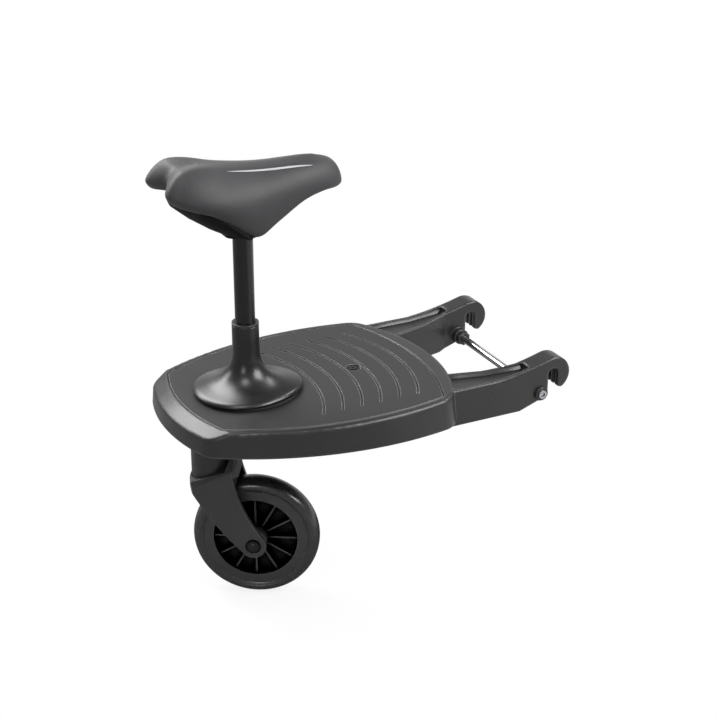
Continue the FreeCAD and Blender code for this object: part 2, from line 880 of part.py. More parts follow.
def seat_plate_block(inset, low, high):
    """Round-cornered block with the seat plate's plan."""
    half_length = seat_plate_length / 2 - inset
    half_across = seat_plate_width / 2 - inset
    plate = block(point(post_x - half_length, -half_across, low),
                  point(post_x + half_length, half_across, high))
    corners = [edge for edge in plate.Edges if edge.BoundBox.ZLength > (high - low) / 2]
    return plate.makeFillet(seat_plate_corner - inset, corners)


def plate_screw_places():
    """Places of the screws through the seat plate."""
    half_length = seat_plate_length / 2 - plate_screw_inset
    half_across = seat_plate_width / 2 - plate_screw_inset
    return [(post_x + along * half_length, across * half_across) for along in (-1, 1) for across in (-1, 1)]


def seat_plate():
    """Steel plate on the post's top that the saddle is screwed to."""
    plate = seat_plate_block(0, plate_bottom, plate_top)
    hole = screw_radius + screw_clearance
    for x, y in plate_screw_places():
        plate = plate.cut(upright(hole, plate_bottom - overrun, plate_top + overrun, x, y))
    return plate


def saddle_x(share):
    """Place along the saddle from its rear."""
    return post_x - saddle_setback + saddle_length * share


def saddle_z(share):
    """Height within the saddle from its underside."""
    return saddle_base + saddle_height * share


def saddle_section(station, width_share, crown_share):
    """Cross-section of the saddle's body: a crowned top and flanks that draw in."""
    x = saddle_x(station)
    half = saddle_width / 2 * width_share
    crown = saddle_z(crown_share)
    shoulder = crown - half * saddle_shoulder_share
    waist = half * saddle_waist_share
    low = saddle_base - seat_plate_rise
    bulge, level = saddle_flank_shares
    middle = low + (shoulder - low) * level
    return Part.Wire([
        arc(point(x, -half, shoulder), point(x, 0, crown), point(x, half, shoulder)),
        arc(point(x, half, shoulder), point(x, half * bulge, middle), point(x, waist, low)),
        line(point(x, waist, low), point(x, -waist, low)),
        arc(point(x, -waist, low), point(x, -half * bulge, middle), point(x, -half, shoulder)),
    ])


def above_cover_edge():
    """Space above the cover's lower edge, which dips to the post in side view."""
    side = -saddle_width
    rear = point(saddle_x(-edge_nose_share), side, saddle_z(edge_rear_share))
    heel = point(saddle_x(0), side, saddle_z(edge_rear_share))
    low = point(post_x, side, saddle_z(edge_low_share))
    bow = edge_rear_bow_shares
    front_bow = edge_front_bow_shares
    front = point(saddle_x(edge_front_shares[0]), side, saddle_z(edge_front_shares[1]))
    nose = point(saddle_x(edge_clear_share), side, saddle_z(edge_nose_share))
    high = saddle_z(edge_clear_share)
    edges = [
        line(rear, heel),
        arc(heel, point(saddle_x(bow[0]), side, saddle_z(bow[1])), low),
        arc(low, point(saddle_x(front_bow[0]), side, saddle_z(front_bow[1])), front),
        line(front, nose),
        line(nose, point(nose.x, side, high)),
        line(point(nose.x, side, high), point(rear.x, side, high)),
        line(point(rear.x, side, high), rear),
    ]
    return prism(edges, point(0, 2 * saddle_width, 0))


def saddle_cover():
    """Padded cover of the saddle with its two rear lobes."""
    rows = zip(saddle_station_shares, saddle_width_shares, saddle_crown_shares)
    body = Part.makeLoft([saddle_section(*row) for row in rows], True, False)
    body = body.common(above_cover_edge())
    notch_x = saddle_x(0) + notch_depth - notch_radius
    low = saddle_base - seat_plate_rise
    notch = upright(notch_radius, low, saddle_z(1) + overrun, notch_x)
    back = block(point(notch_x - saddle_length, -notch_radius, low),
                 point(notch_x, notch_radius, saddle_z(1) + overrun))
    body = body.cut(joined([notch, back]))
    return body.cut(pan_boss(pan_cover_clearance))


def pan_section(station, width_share, keel_share, rim_share):
    """Cross-section of the pan: a keel under upright sides that end inside the cover."""
    x = saddle_x(station)
    half = saddle_width / 2 * width_share
    keel = saddle_z(keel_share)
    rim = saddle_z(rim_share)
    high = rim + pan_boss_height
    return Part.Wire([
        line(point(x, -half, high), point(x, half, high)),
        line(point(x, half, high), point(x, half, rim)),
        arc(point(x, half, rim), point(x, 0, keel), point(x, -half, rim)),
        line(point(x, -half, rim), point(x, -half, high)),
    ])


def pan_boss(clearance):
    """Boss of the pan that takes the seat plate, grown by a clearance."""
    inset = -pan_boss_gap - pan_boss_wall - clearance
    high = plate_top + pan_boss_height + clearance
    return seat_plate_block(inset, plate_bottom - pan_boss_lip, high)


def saddle_pan():
    """Hard base of the saddle, a hull with a boss that takes the seat plate."""
    rows = zip(pan_station_shares, pan_width_shares, pan_keel_shares, pan_rim_shares)
    hull = Part.makeLoft([pan_section(*row) for row in rows], True, True)
    pan = joined([hull.cut(above_cover_edge()), pan_boss(0)])
    pan = pan.cut(seat_plate_block(-pan_boss_gap, saddle_base - saddle_height, plate_top))
    pilot = screw_radius + screw_thread_clearance
    depth = plate_bottom + plate_screw_length + screw_clearance
    for x, y in plate_screw_places():
        pan = pan.cut(upright(pilot, plate_top - overrun, depth, x, y))
    return pan


def cross_rod():
    """Bright rod that ties the two arms together."""
    rod = crosswise(rod_radius, -arm_outer, arm_outer, -rod_back, -rod_drop)
    pilot = rod_screw_radius + rod_clearance
    depth = rod_screw_length + overrun
    for start in (-arm_outer - overrun, arm_outer - depth):
        rod = rod.cut(crosswise(pilot, start, start + depth + overrun, -rod_back, -rod_drop))
    return rod


def rod_nut():
    """Hexagonal collar on the rod against the near arm's inner boss."""
    start = -arm_inner + rod_inner_boss_length
    nut = hexagon(rod_nut_flats, point(0, rod_nut_thickness, 0), point(-rod_back, start, -rod_drop), 0)
    bore = crosswise(rod_radius + rod_clearance, start - overrun, start + rod_nut_thickness + overrun,
                     -rod_back, -rod_drop)
    return nut.cut(bore)


def rod_washer():
    """Round collar on the near arm's outer face."""
    end = -arm_outer - rod_washer_thickness
    washer = crosswise(rod_washer_radius, end, -arm_outer, -rod_back, -rod_drop)
    rim = [edge for edge in washer.Edges if abs(edge.CenterOfMass.y - end) < rod_clearance]
    washer = washer.makeFillet(rod_washer_thickness * screw_head_round_share, rim)
    bore = rod_screw_radius + rod_clearance
    return washer.cut(crosswise(bore, end - overrun, -arm_outer + overrun, -rod_back, -rod_drop))


def rod_screw():
    """Socket-head screw into the near end of the rod."""
    face = -arm_outer - rod_washer_thickness
    shank = crosswise(rod_screw_radius, face, face + rod_screw_length, -rod_back, -rod_drop)
    head = crosswise(rod_screw_head_radius, face - rod_screw_head_height, face, -rod_back, -rod_drop)
    outer = face - rod_screw_head_height
    socket = hexagon(rod_screw_socket_flats, point(0, rod_screw_socket_depth + overrun, 0),
                     point(-rod_back, outer - overrun, -rod_drop), 0)
    return joined([shank, head]).cut(socket)


def pair(shape):
    """A piece and its mirror twin as one group."""
    return Part.makeCompound([shape, mirrored(shape)])


def caster_housing():
    """Round housing under the deck that the caster swivels in."""
    body = upright(housing_radius, housing_bottom, plate_low, swivel_x)
    flange = upright(housing_flange_radius, plate_low - housing_flange_thickness, plate_low, swivel_x)
    housing = joined([body, flange])
    core_floor = housing_bottom + housing_core_floor
    core = upright(housing_core_radius, core_floor, plate_low + overrun, swivel_x)
    core = core.cut(upright(housing_tube_radius, core_floor - overrun, upper_bush_top(), swivel_x))
    housing = housing.cut(core)
    bore = upright(kingpin_radius + swivel_gap, housing_bottom - overrun, plate_low, swivel_x)
    housing = housing.cut(bore)
    seat = swivel_bush_radius
    upper = upper_bush_top()
    housing = housing.cut(upright(seat, housing_bottom - overrun, lower_bush_top(), swivel_x))
    housing = housing.cut(upright(seat, upper - swivel_bush_length, upper + overrun, swivel_x))
    pilot = screw_radius + screw_thread_clearance
    for x, y in housing_screw_places():
        housing = housing.cut(upright(pilot, housing_bottom, plate_low + overrun, x, y))
    return housing


def lower_bush_top():
    """Top of the lower swivel bush."""
    return housing_bottom + swivel_bush_length


def upper_bush_top():
    """Top of the upper swivel bush, under the washer and nut."""
    return plate_low - kingpin_nut_thickness - kingpin_washer_thickness - swivel_bush_length


def swivel_bush(top):
    """Bearing bush for the kingpin."""
    bush = upright(swivel_bush_radius, top - swivel_bush_length, top, swivel_x)
    bore = kingpin_radius + swivel_running_clearance
    return bush.cut(upright(bore, top - swivel_bush_length - overrun, top + overrun, swivel_x))


def kingpin_nut_base():
    """Height of the kingpin nut's underside."""
    return upper_bush_top() + swivel_gap + kingpin_washer_thickness


def kingpin():
    """Steel pin that joins the fork to the housing."""
    shank = upright(kingpin_radius, crown_bottom, kingpin_nut_base() + kingpin_nut_thickness, swivel_x)
    head = upright(kingpin_head_radius, crown_bottom - kingpin_head_thickness, crown_bottom, swivel_x)
    return joined([shank, head])


def kingpin_washer():
    """Washer between the upper bush and the kingpin's nut."""
    base = upper_bush_top() + swivel_gap
    top = base + kingpin_washer_thickness
    washer = upright(kingpin_washer_radius, base, top, swivel_x)
    return washer.cut(upright(kingpin_radius, base - overrun, top + overrun, swivel_x))


def kingpin_nut():
    """Lock nut on the kingpin."""
    base = kingpin_nut_base()
    nut = hexagon(kingpin_nut_flats, point(0, 0, kingpin_nut_thickness), point(swivel_x, 0, base), 0)
    return nut.cut(upright(kingpin_radius, base - overrun, base + kingpin_nut_thickness + overrun, swivel_x))


def swung(shape):
    """A caster piece turned to its rest heading about the swivel axis."""
    shape.rotate(point(swivel_x, 0, 0), point(0, 0, 1), -rest_heading_angle)
    return shape


def axle_x():
    """Place of the axle before the caster is swung."""
    return swivel_x + trail


def tangent_spot(start, centre, radius, side):
    """Where a line from a point touches a circle in side view."""
    reach = centre.sub(start)
    distance = math.hypot(reach.x, reach.z)
    bearing = math.atan2(reach.z, reach.x)
    spread = math.acos(radius / distance)
    angle = bearing + math.pi - side * spread
    return point(centre.x + radius * math.cos(angle), centre.y, centre.z + radius * math.sin(angle))


def bowed(start, end, share):
    """Middle of an edge that bows down and forward by a share of its chord."""
    chord = end.sub(start)
    middle = start.add(end).multiply(1 / 2)
    return middle.add(point(chord.z, 0, -chord.x).multiply(share))


def fork_outline():
    """Side outline of the fork: crown, rising guard and the leg down to the axle."""
    near = -fork_half_width
    crown_drop = tread_height - crown_top

    def spot(ahead, drop):
        return point(swivel_x + ahead, near, tread_height - drop)

    end = point(axle_x(), near, axle_height)
    collar = spot(-crown_front, crown_drop)
    brow = spot(-crown_front, crown_drop + crown_front_depth)
    front = spot(-leg_front, leg_front_drop)
    ramp = spot(guard_start, crown_drop - guard_start_rise)
    guard_inner = spot(guard_rear - guard_wall, crown_drop - guard_rise)
    guard_outer = spot(guard_rear, crown_drop - guard_rise)
    rear = spot(leg_rear, leg_rear_drop)
    front_end = tangent_spot(front, end, leg_end_radius, -1)
    rear_end = tangent_spot(rear, end, leg_end_radius, 1)
    middle = front.add(rear).multiply(1 / 2)
    tip = end.add(end.sub(middle).normalize().multiply(leg_end_radius))
    return [
        line(collar, ramp),
        line(ramp, guard_inner),
        line(guard_inner, guard_outer),
        line(guard_outer, rear),
        arc(rear, bowed(rear, rear_end, leg_rear_bow_share), rear_end),
        arc(rear_end, tip, front_end),
        arc(front_end, bowed(front, front_end, leg_front_bow_share), front),
        line(front, brow),
        line(brow, collar),
    ]


def crown_front_round(low, high):
    """Large cylinder whose side rounds the front of the crown."""
    sagitta = crown_front - crown_side_front
    radius = (fork_half_width ** 2 + sagitta ** 2) / (2 * sagitta)
    return upright(radius, low, high, swivel_x - crown_front + radius)


def crown_bevel():
    """Wedge above the near leg's flat face, where the crown leans in."""
    start = point(swivel_x - bevel_front, -fork_half_width, tread_height - bevel_front_drop)
    end = point(swivel_x + bevel_rear, -fork_half_width, tread_height - bevel_rear_drop)
    ahead = end.sub(start).normalize()
    out = point(0, -overrun, 0)
    down = point(ahead.z, 0, -ahead.x).multiply(overrun)
    inward = point(0, fork_half_width, 0)
    up = point(-ahead.z, 0, ahead.x).multiply(fork_half_width)
    first = start.sub(ahead.multiply(2 * fork_half_width))
    corners = [first.add(out).add(down), first.add(inward).add(up), first.add(out).add(up)]
    edges = [line(corners[number - 1], corners[number]) for number in range(len(corners))]
    return prism(edges, end.sub(first).multiply(2))


def axle_room():
    """Recess and bore for the axle in the near leg."""
    near = -fork_half_width
    recess = crosswise(axle_recess_radius, near - overrun, near + axle_recess_depth, axle_x(), axle_height)
    bore = crosswise(axle_radius, near - overrun, near + leg_thickness + overrun, axle_x(), axle_height)
    return joined([recess, bore])


def caster_fork():
    """Fork moulding that cups the housing and carries the wheel behind the swivel."""
    low = axle_height - wheel_radius
    high = crown_top + guard_rise + overrun
    fork = prism(fork_outline(), point(0, 2 * fork_half_width, 0))
    fork = fork.common(crown_front_round(low, high))
    wheel_room = block(point(swivel_x - wheel_radius, -leg_inner, low),
                       point(axle_x() + wheel_radius, leg_inner, crown_bottom))
    tyre_room = crosswise(wheel_radius + crown_wheel_gap, -leg_inner, leg_inner, axle_x(), axle_height)
    cup = upright(housing_radius + swivel_gap, crown_top, high, swivel_x)
    bore = upright(kingpin_radius, crown_bottom - overrun, high, swivel_x)
    sides = [crown_bevel(), axle_room()]
    rooms = [wheel_room, tyre_room, cup, bore] + sides + [mirrored(side) for side in sides]
    for room in rooms:
        fork = fork.cut(room)
    return swung(fork.removeSplitter())


def axle_bolt():
    """Socket-head bolt through the fork and the wheel."""
    seat = -fork_half_width + axle_recess_depth
    end = fork_half_width - axle_recess_depth + axle_nut_thickness + axle_end
    shank = crosswise(axle_radius, seat, end, axle_x(), axle_height)
    head = crosswise(axle_head_radius, seat - axle_head_height, seat, axle_x(), axle_height)
    outer = seat - axle_head_height
    socket = hexagon(axle_socket_flats, point(0, axle_socket_depth + overrun, 0),
                     point(axle_x(), outer - overrun, axle_height), 0)
    return swung(joined([shank, head]).cut(socket))


def axle_nut():
    """Lock nut on the far end of the axle bolt."""
    base = fork_half_width - axle_recess_depth
    nut = hexagon(axle_nut_flats, point(0, axle_nut_thickness, 0), point(axle_x(), base, axle_height), 0)
    bore = crosswise(axle_radius, base - overrun, base + axle_nut_thickness + overrun, axle_x(), axle_height)
    return swung(nut.cut(bore))


def hub_spacers():
    """Spacers between the fork's legs and the wheel's bearings."""
    spacer = crosswise(spacer_radius, -leg_inner, -spacer_inner, axle_x(), axle_height)
    bore = crosswise(axle_radius, -leg_inner - overrun, -spacer_inner + overrun, axle_x(), axle_height)
    return swung(pair(spacer.cut(bore)))


def wheel_ring(outer, inner, half):
    """Ring about the axle."""
    ring = crosswise(outer, -half, half, axle_x(), axle_height)
    return ring.cut(crosswise(inner, -half - overrun, half + overrun, axle_x(), axle_height))


def wheel_rim():
    """Moulded wheel centre with a deep dish and thin radial ribs."""
    outer = tyre_inner_radius - tyre_seat_gap
    rim_half = rim_width / 2
    band_inner = outer - rim_band
    bore = axle_radius + wheel_side_gap
    band = wheel_ring(outer, band_inner, rim_half)
    web = wheel_ring(band_inner + rim_web, bore, rim_web / 2)
    hub = wheel_ring(hub_radius, bore, hub_half)
    ribs = []
    for number in range(rim_rib_count):
        low = point(axle_x() - rim_rib_thickness / 2, -rim_half + rim_rib_recess, axle_height + bore)
        high = point(axle_x() + rim_rib_thickness / 2, rim_half - rim_rib_recess,
                     axle_height + band_inner + rim_web)
        rib = block(low, high)
        turn = 360 * number / rim_rib_count
        rib.rotate(point(axle_x(), 0, axle_height), point(0, 1, 0), turn)
        ribs.append(rib)
    rim = joined([band, web, hub] + ribs)
    rim = rim.cut(crosswise(bore, -hub_half - overrun, hub_half + overrun, axle_x(), axle_height))
    for start in (-hub_half - overrun, hub_half - wheel_bearing_width):
        seat = crosswise(wheel_bearing_radius + wheel_seat_clearance, start,
                         start + wheel_bearing_width + overrun, axle_x(), axle_height)
        rim = rim.cut(seat)
    return swung(rim)


def tyre():
    """Solid tyre with a round tread."""
    half = tyre_width / 2
    seat_half = rim_width / 2
    shoulder = tyre_inner_radius + (wheel_radius - tyre_inner_radius) * tyre_shoulder_share
    x = axle_x()
    edges = [
        line(point(x, -seat_half, axle_height + tyre_inner_radius),
             point(x, seat_half, axle_height + tyre_inner_radius)),
        line(point(x, seat_half, axle_height + tyre_inner_radius), point(x, half, axle_height + shoulder)),
        arc(point(x, half, axle_height + shoulder), point(x, 0, axle_height + wheel_radius),
            point(x, -half, axle_height + shoulder)),
        line(point(x, -half, axle_height + shoulder),
             point(x, -seat_half, axle_height + tyre_inner_radius)),
    ]
    face = Part.Face(Part.Wire(edges))
    return swung(face.revolve(point(x, 0, axle_height), point(0, 1, 0), 360))


def wheel_bearings():
    """Bearings in the two ends of the hub."""
    start = -hub_half
    bearing = crosswise(wheel_bearing_radius, start, start + wheel_bearing_width, axle_x(), axle_height)
    bore = axle_radius + axle_running_clearance
    bearing = bearing.cut(crosswise(bore, start - overrun, start + wheel_bearing_width + overrun,
                                    axle_x(), axle_height))
    return swung(pair(bearing))


def build():
    """Every piece of the board by name."""
    return {
        "board_shell": board_shell(),
        "tread_plate": tread_plate(),
        "tread_screw": tread_screw(),
        "seat_boot": seat_boot(),
        "boot_gasket": boot_gasket(),
        "boot_screws": screws_up(boot_screw_places(), plate_low, boot_screw_length),
        "post_liner": post_liner(),
        "seat_post": seat_post(),
        "post_plug": post_plug(),
        "seat_plate": seat_plate(),
        "seat_plate_screws": screws_up(plate_screw_places(), plate_bottom, plate_screw_length),
        "saddle_pan": saddle_pan(),
        "saddle_cover": saddle_cover(),
        "cross_rod": cross_rod(),
        "rod_nuts": pair(rod_nut()),
        "rod_washers": pair(rod_washer()),
        "rod_screws": pair(rod_screw()),
        "caster_housing": caster_housing(),
        "housing_screws": housing_screws(),
        "swivel_bush_lower": swivel_bush(lower_bush_top()),
        "swivel_bush_upper": swivel_bush(upper_bush_top()),
        "kingpin": kingpin(),
        "kingpin_washer": kingpin_washer(),
        "kingpin_nut": kingpin_nut(),
        "caster_fork": caster_fork(),
        "axle_bolt": axle_bolt(),
        "axle_nut": axle_nut(),
        "hub_spacers": hub_spacers(),
        "wheel_rim": wheel_rim(),
        "wheel_bearings": wheel_bearings(),
        "tyre": tyre(),
    }


os.makedirs("parts", exist_ok=True)
for name, shape in build().items():
    shape.exportStep(os.path.join("parts", name + ".step"))
    print(name, len(shape.Solids), shape.isValid(), round(shape.Volume))
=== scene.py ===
"""Looks of a ride-on pushchair board with a saddle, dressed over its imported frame."""

import json
import logging
import math
from collections.abc import Callable
from dataclasses import dataclass, replace
from enum import Enum
from typing import Any

import bmesh
import bpy
from bpy.types import ID, Material, Node, NodeSocket, NodeTree, Object, World
from mathutils import Matrix, Vector


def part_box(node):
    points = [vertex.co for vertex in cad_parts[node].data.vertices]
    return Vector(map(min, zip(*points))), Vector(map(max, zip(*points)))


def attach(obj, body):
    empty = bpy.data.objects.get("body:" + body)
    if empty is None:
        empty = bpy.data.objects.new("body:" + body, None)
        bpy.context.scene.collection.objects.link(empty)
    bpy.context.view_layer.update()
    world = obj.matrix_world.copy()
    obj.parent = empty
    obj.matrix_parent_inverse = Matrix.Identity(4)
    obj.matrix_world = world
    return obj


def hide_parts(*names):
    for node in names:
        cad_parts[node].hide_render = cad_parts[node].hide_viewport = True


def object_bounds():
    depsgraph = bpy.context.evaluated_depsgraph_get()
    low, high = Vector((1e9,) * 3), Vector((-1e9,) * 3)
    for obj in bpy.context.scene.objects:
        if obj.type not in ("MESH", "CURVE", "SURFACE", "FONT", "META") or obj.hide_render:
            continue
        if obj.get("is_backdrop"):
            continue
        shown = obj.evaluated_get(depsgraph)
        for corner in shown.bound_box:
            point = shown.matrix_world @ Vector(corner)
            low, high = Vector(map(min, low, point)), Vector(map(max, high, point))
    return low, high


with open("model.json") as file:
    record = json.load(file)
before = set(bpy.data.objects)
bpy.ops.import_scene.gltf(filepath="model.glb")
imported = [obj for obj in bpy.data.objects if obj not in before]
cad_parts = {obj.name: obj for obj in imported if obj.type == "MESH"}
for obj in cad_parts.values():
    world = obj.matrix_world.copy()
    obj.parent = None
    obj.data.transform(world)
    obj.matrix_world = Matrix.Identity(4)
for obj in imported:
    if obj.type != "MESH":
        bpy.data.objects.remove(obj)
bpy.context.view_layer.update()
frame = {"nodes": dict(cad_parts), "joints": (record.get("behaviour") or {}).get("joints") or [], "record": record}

LOG = logging.getLogger("buggy_board")

# Sizes below are in millimetres, and the scene is in metres
MM = 0.001
# Points nearer than this many millimetres are one: on a spun seam, in a stripe and in the cover's skin
SEAM_WELD, SAME_PLACE, SKIN_WELD = 0.001, 0.01, 0.05
# Values between which nearly all of a noise texture lies
NOISE = (0.3, 0.7)
# Octaves of a fine noise, of drawn marks and of broad clouds
FINE_DETAIL, MARK_DETAIL, CLOUD_DETAIL = 2.0, 3.0, 4.0
# Samples that round an edge and that look out of a hollow
EDGE_SAMPLES, HOLLOW_SAMPLES = 6, 8
WHEEL_JOINT = "wheel_spin"

Pair = tuple[float, float]
Triple = tuple[float, float, float]


class Body(Enum):
    """Bodies of the frame that a new piece can ride on."""

    BOARD = "board"
    SEAT = "seat"
    FORK = "fork"
    WHEEL = "wheel"


class Slot(Enum):
    """Material slots of the record."""

    BLACK_MOULDING = "black_moulding"
    TREAD_MOULDING = "tread_moulding"
    GLOSSY_MOULDING = "glossy_moulding"
    WHEEL_MOULDING = "wheel_moulding"
    BLACK_PAINT = "black_paint"
    ZINC_STEEL = "zinc_steel"
    BRIGHT_CHROME = "bright_chrome"
    SOFT_RUBBER = "soft_rubber"
    BEARING_PLASTIC = "bearing_plastic"
    SADDLE_SKIN = "saddle_skin"
    BLACK_TYRE = "black_tyre"


def linear(code: str) -> tuple[float, float, float, float]:
    """Turns an sRGB hex colour into linear values.

    Args:
        code: Colour such as "#1f1f20".

    Returns:
        Linear red, green and blue, and an alpha of 1.
    """
    shares = [int(code[start:start + 2], 16) / 255 for start in (1, 3, 5)]
    values = [s / 12.92 if s <= 0.04045 else ((s + 0.055) / 1.055) ** 2.4 for s in shares]
    return (values[0], values[1], values[2], 1.0)


def joint(name: str) -> dict[str, Any]:
    """Joint of the frame with this name."""
    return next(row for row in frame["joints"] if row["name"] == name)


def per_mm(size: float) -> float:
    """Texture scale whose features are about this many millimetres across."""
    return 1 / (size * MM)


def ends(side: str, span: Pair) -> dict[str, float]:
    """Values of the two sockets for the ends of a span."""
    return {f"{side} Min": span[0], f"{side} Max": span[1]}


def add_node(tree: NodeTree, kind: str, inputs: dict[Any, Any] | None = None,
             **settings: Any) -> Node:
    """Adds a node with its settings, its values and its links.

    Args:
        tree: Node tree that gets the node.
        kind: Blender's name of the node type.
        inputs: Values by socket name or number; an output socket is linked instead.
        **settings: Properties of the node itself.

    Returns:
        The new node.
    """
    node = tree.nodes.new(kind)
    for name, value in settings.items():
        setattr(node, name, value)
    for key, value in (inputs or {}).items():
        if isinstance(value, NodeSocket):
            tree.links.new(value, node.inputs[key])
        else:
            node.inputs[key].default_value = value
    return node


def empty_tree(owner: Material | World) -> NodeTree:
    """Turns on a node tree and empties it.

    Args:
        owner: Material or world that has the nodes.

    Returns:
        The empty tree.
    """
    owner.use_nodes = True
    owner.node_tree.nodes.clear()
    return owner.node_tree


def show_surface(tree: NodeTree, inputs: dict[str, Any]) -> None:
    """Ends a material with one principled shader.

    Args:
        tree: Node tree of the material.
        inputs: Values and links of the shader's sockets.
    """
    shader = add_node(tree, "ShaderNodeBsdfPrincipled", inputs)
    add_node(tree, "ShaderNodeOutputMaterial", {"Surface": shader.outputs["BSDF"]})


def hollow_shade(tree: NodeTree, reach: float, span: Pair, tone: float) -> NodeSocket:
    """Paints shade into the hollows of a piece.

    Args:
        tree: Node tree of the material.
        reach: Depth of hollow that counts, in millimetres.
        span: Open shares of the sky at which the shade is full and gone.
        tone: Brightness left in full shade.

    Returns:
        Socket with the brightness.
    """
    sky = add_node(tree, "ShaderNodeAmbientOcclusion", {"Distance": reach * MM}, samples=HOLLOW_SAMPLES,
                   only_local=True)
    return add_node(tree, "ShaderNodeMapRange", {
        "Value": sky.outputs["AO"], **ends("From", span), **ends("To", (tone, 1.0))}).outputs["Result"]


@dataclass(frozen=True)
class MouldedPlastic:
    """Injection-moulded plastic: an even colour, a fine spark-eroded grain, paler edges that are partly rubbed
    wear and partly painted highlight, and painted shade in its hollows.
    """

    name: str
    colour: str
    rubbed_highlit_edge: str
    roughness: float
    grain: float
    grain_height: float
    edge: float = 1.0
    edge_wear_and_highlight: float = 0.35
    cloud: float = 40.0
    ior: float = 1.49
    specular: float = 0.5
    # Painted shade in the hollows: depth of hollow that counts, brightness left in full shade, and open shares of
    # the sky at which it is full and gone
    recess: float = 10.0
    recess_tone: float = 0.5
    recess_span: Pair = (0.25, 0.85)
    # Cosines of the turn of an edge at which the paler edge, partly wear and partly painted highlight, starts and
    # is full
    edge_turn: Pair = (0.985, 0.85)
    mottle: Pair = (0.92, 1.08)
    gloss_drift: float = 0.04

    def material(self) -> Material:
        """Builds the node material.

        Returns:
            The material, with its pattern on Object coordinates.
        """
        material = bpy.data.materials.new(self.name)
        tree = empty_tree(material)
        place = add_node(tree, "ShaderNodeTexCoord").outputs["Object"]
        grain, cloud = (add_node(tree, "ShaderNodeTexNoise", {
            "Vector": place, "Scale": per_mm(size), "Detail": detail})
            for size, detail in ((self.grain, FINE_DETAIL), (self.cloud, CLOUD_DETAIL)))
        round_edge = add_node(tree, "ShaderNodeBevel", {"Radius": self.edge * MM}, samples=EDGE_SAMPLES)
        flat = add_node(tree, "ShaderNodeNewGeometry")
        turn = add_node(tree, "ShaderNodeVectorMath",
                        {0: round_edge.outputs["Normal"], 1: flat.outputs["Normal"]}, operation="DOT_PRODUCT")
        # Paler edges: partly rubbed wear, partly a painted highlight along the rounded edges
        wear_highlight_mask = add_node(tree, "ShaderNodeMapRange", {
            "Value": turn.outputs["Value"], **ends("From", self.edge_turn),
            **ends("To", (0.0, self.edge_wear_and_highlight))})
        patch = add_node(tree, "ShaderNodeMath", {0: wear_highlight_mask.outputs["Result"], 1: cloud.outputs["Fac"]},
                         operation="MULTIPLY")
        colour = add_node(tree, "ShaderNodeMix", {
            0: patch.outputs["Value"], 6: linear(self.colour), 7: linear(self.rubbed_highlit_edge)}, data_type="RGBA")
        tone = add_node(tree, "ShaderNodeMapRange", {
            "Value": cloud.outputs["Fac"], **ends("From", NOISE), **ends("To", self.mottle)})
        # Painted shade: the hollows darken the colour here and, through the specular tint, the reflections too
        painted_hollow_shade = hollow_shade(tree, self.recess, self.recess_span, self.recess_tone)
        shade = add_node(tree, "ShaderNodeMath", {0: tone.outputs["Result"], 1: painted_hollow_shade}, operation="MULTIPLY")
        mottled_with_painted_shade = add_node(tree, "ShaderNodeHueSaturation", {
            "Value": shade.outputs["Value"], "Color": colour.outputs[2]})
        gloss = add_node(tree, "ShaderNodeMapRange", {
            "Value": cloud.outputs["Fac"], **ends("From", NOISE),
            **ends("To", (self.roughness - self.gloss_drift, self.roughness + self.gloss_drift))})
        bump = add_node(tree, "ShaderNodeBump", {
            "Distance": self.grain_height * MM, "Height": grain.outputs["Fac"],
            "Normal": round_edge.outputs["Normal"]})
        show_surface(tree, {
            "Base Color": mottled_with_painted_shade.outputs["Color"], "Roughness": gloss.outputs["Result"],
            "Normal": bump.outputs["Normal"], "Specular Tint": painted_hollow_shade,
            "IOR": self.ior, "Specular IOR Level": self.specular})
        return material


@dataclass(frozen=True)
class CoatedMetal:
    """Metal under paint, zinc or chrome: a clean reflection broken by fine marks along one direction."""

    name: str
    colour: str
    metallic: float
    roughness: float
    mark: Triple
    mark_height: float
    edge: float = 0.4
    # Painted shade in the hollows: depth of hollow that counts, brightness left in full shade, and open shares of
    # the sky at which it is full and gone
    recess: float = 1.6
    recess_tone: float = 0.04
    recess_span: Pair = (0.35, 0.8)
    mottle: Pair = (0.9, 1.06)
    gloss_share: Pair = (0.8, 1.25)

    def material(self) -> Material:
        """Builds the node material.

        Returns:
            The material, with its marks on Object coordinates.
        """
        material = bpy.data.materials.new(self.name)
        tree = empty_tree(material)
        place = add_node(tree, "ShaderNodeTexCoord").outputs["Object"]
        stretched = add_node(tree, "ShaderNodeMapping", {
            "Vector": place, "Scale": tuple(per_mm(size) for size in self.mark)})
        marks = add_node(tree, "ShaderNodeTexNoise", {
            "Vector": stretched.outputs["Vector"], "Scale": 1.0, "Detail": MARK_DETAIL})
        tone = add_node(tree, "ShaderNodeMapRange", {
            "Value": marks.outputs["Fac"], **ends("From", NOISE), **ends("To", self.mottle)})
        # Painted shade: small hollows such as sockets darken the colour
        painted_hollow_shade = hollow_shade(tree, self.recess, self.recess_span, self.recess_tone)
        shade = add_node(tree, "ShaderNodeMath", {0: tone.outputs["Result"], 1: painted_hollow_shade}, operation="MULTIPLY")
        colour = add_node(tree, "ShaderNodeHueSaturation", {
            "Value": shade.outputs["Value"], "Color": linear(self.colour)})
        gloss = add_node(tree, "ShaderNodeMapRange", {
            "Value": marks.outputs["Fac"], **ends("From", NOISE),
            **ends("To", (self.roughness * self.gloss_share[0], self.roughness * self.gloss_share[1]))})
        round_edge = add_node(tree, "ShaderNodeBevel", {"Radius": self.edge * MM}, samples=EDGE_SAMPLES)
        bump = add_node(tree, "ShaderNodeBump", {
            "Distance": self.mark_height * MM, "Height": marks.outputs["Fac"],
            "Normal": round_edge.outputs["Normal"]})
        show_surface(tree, {
            "Base Color": colour.outputs["Color"], "Roughness": gloss.outputs["Result"],
            "Normal": bump.outputs["Normal"], "Metallic": self.metallic})
        return material


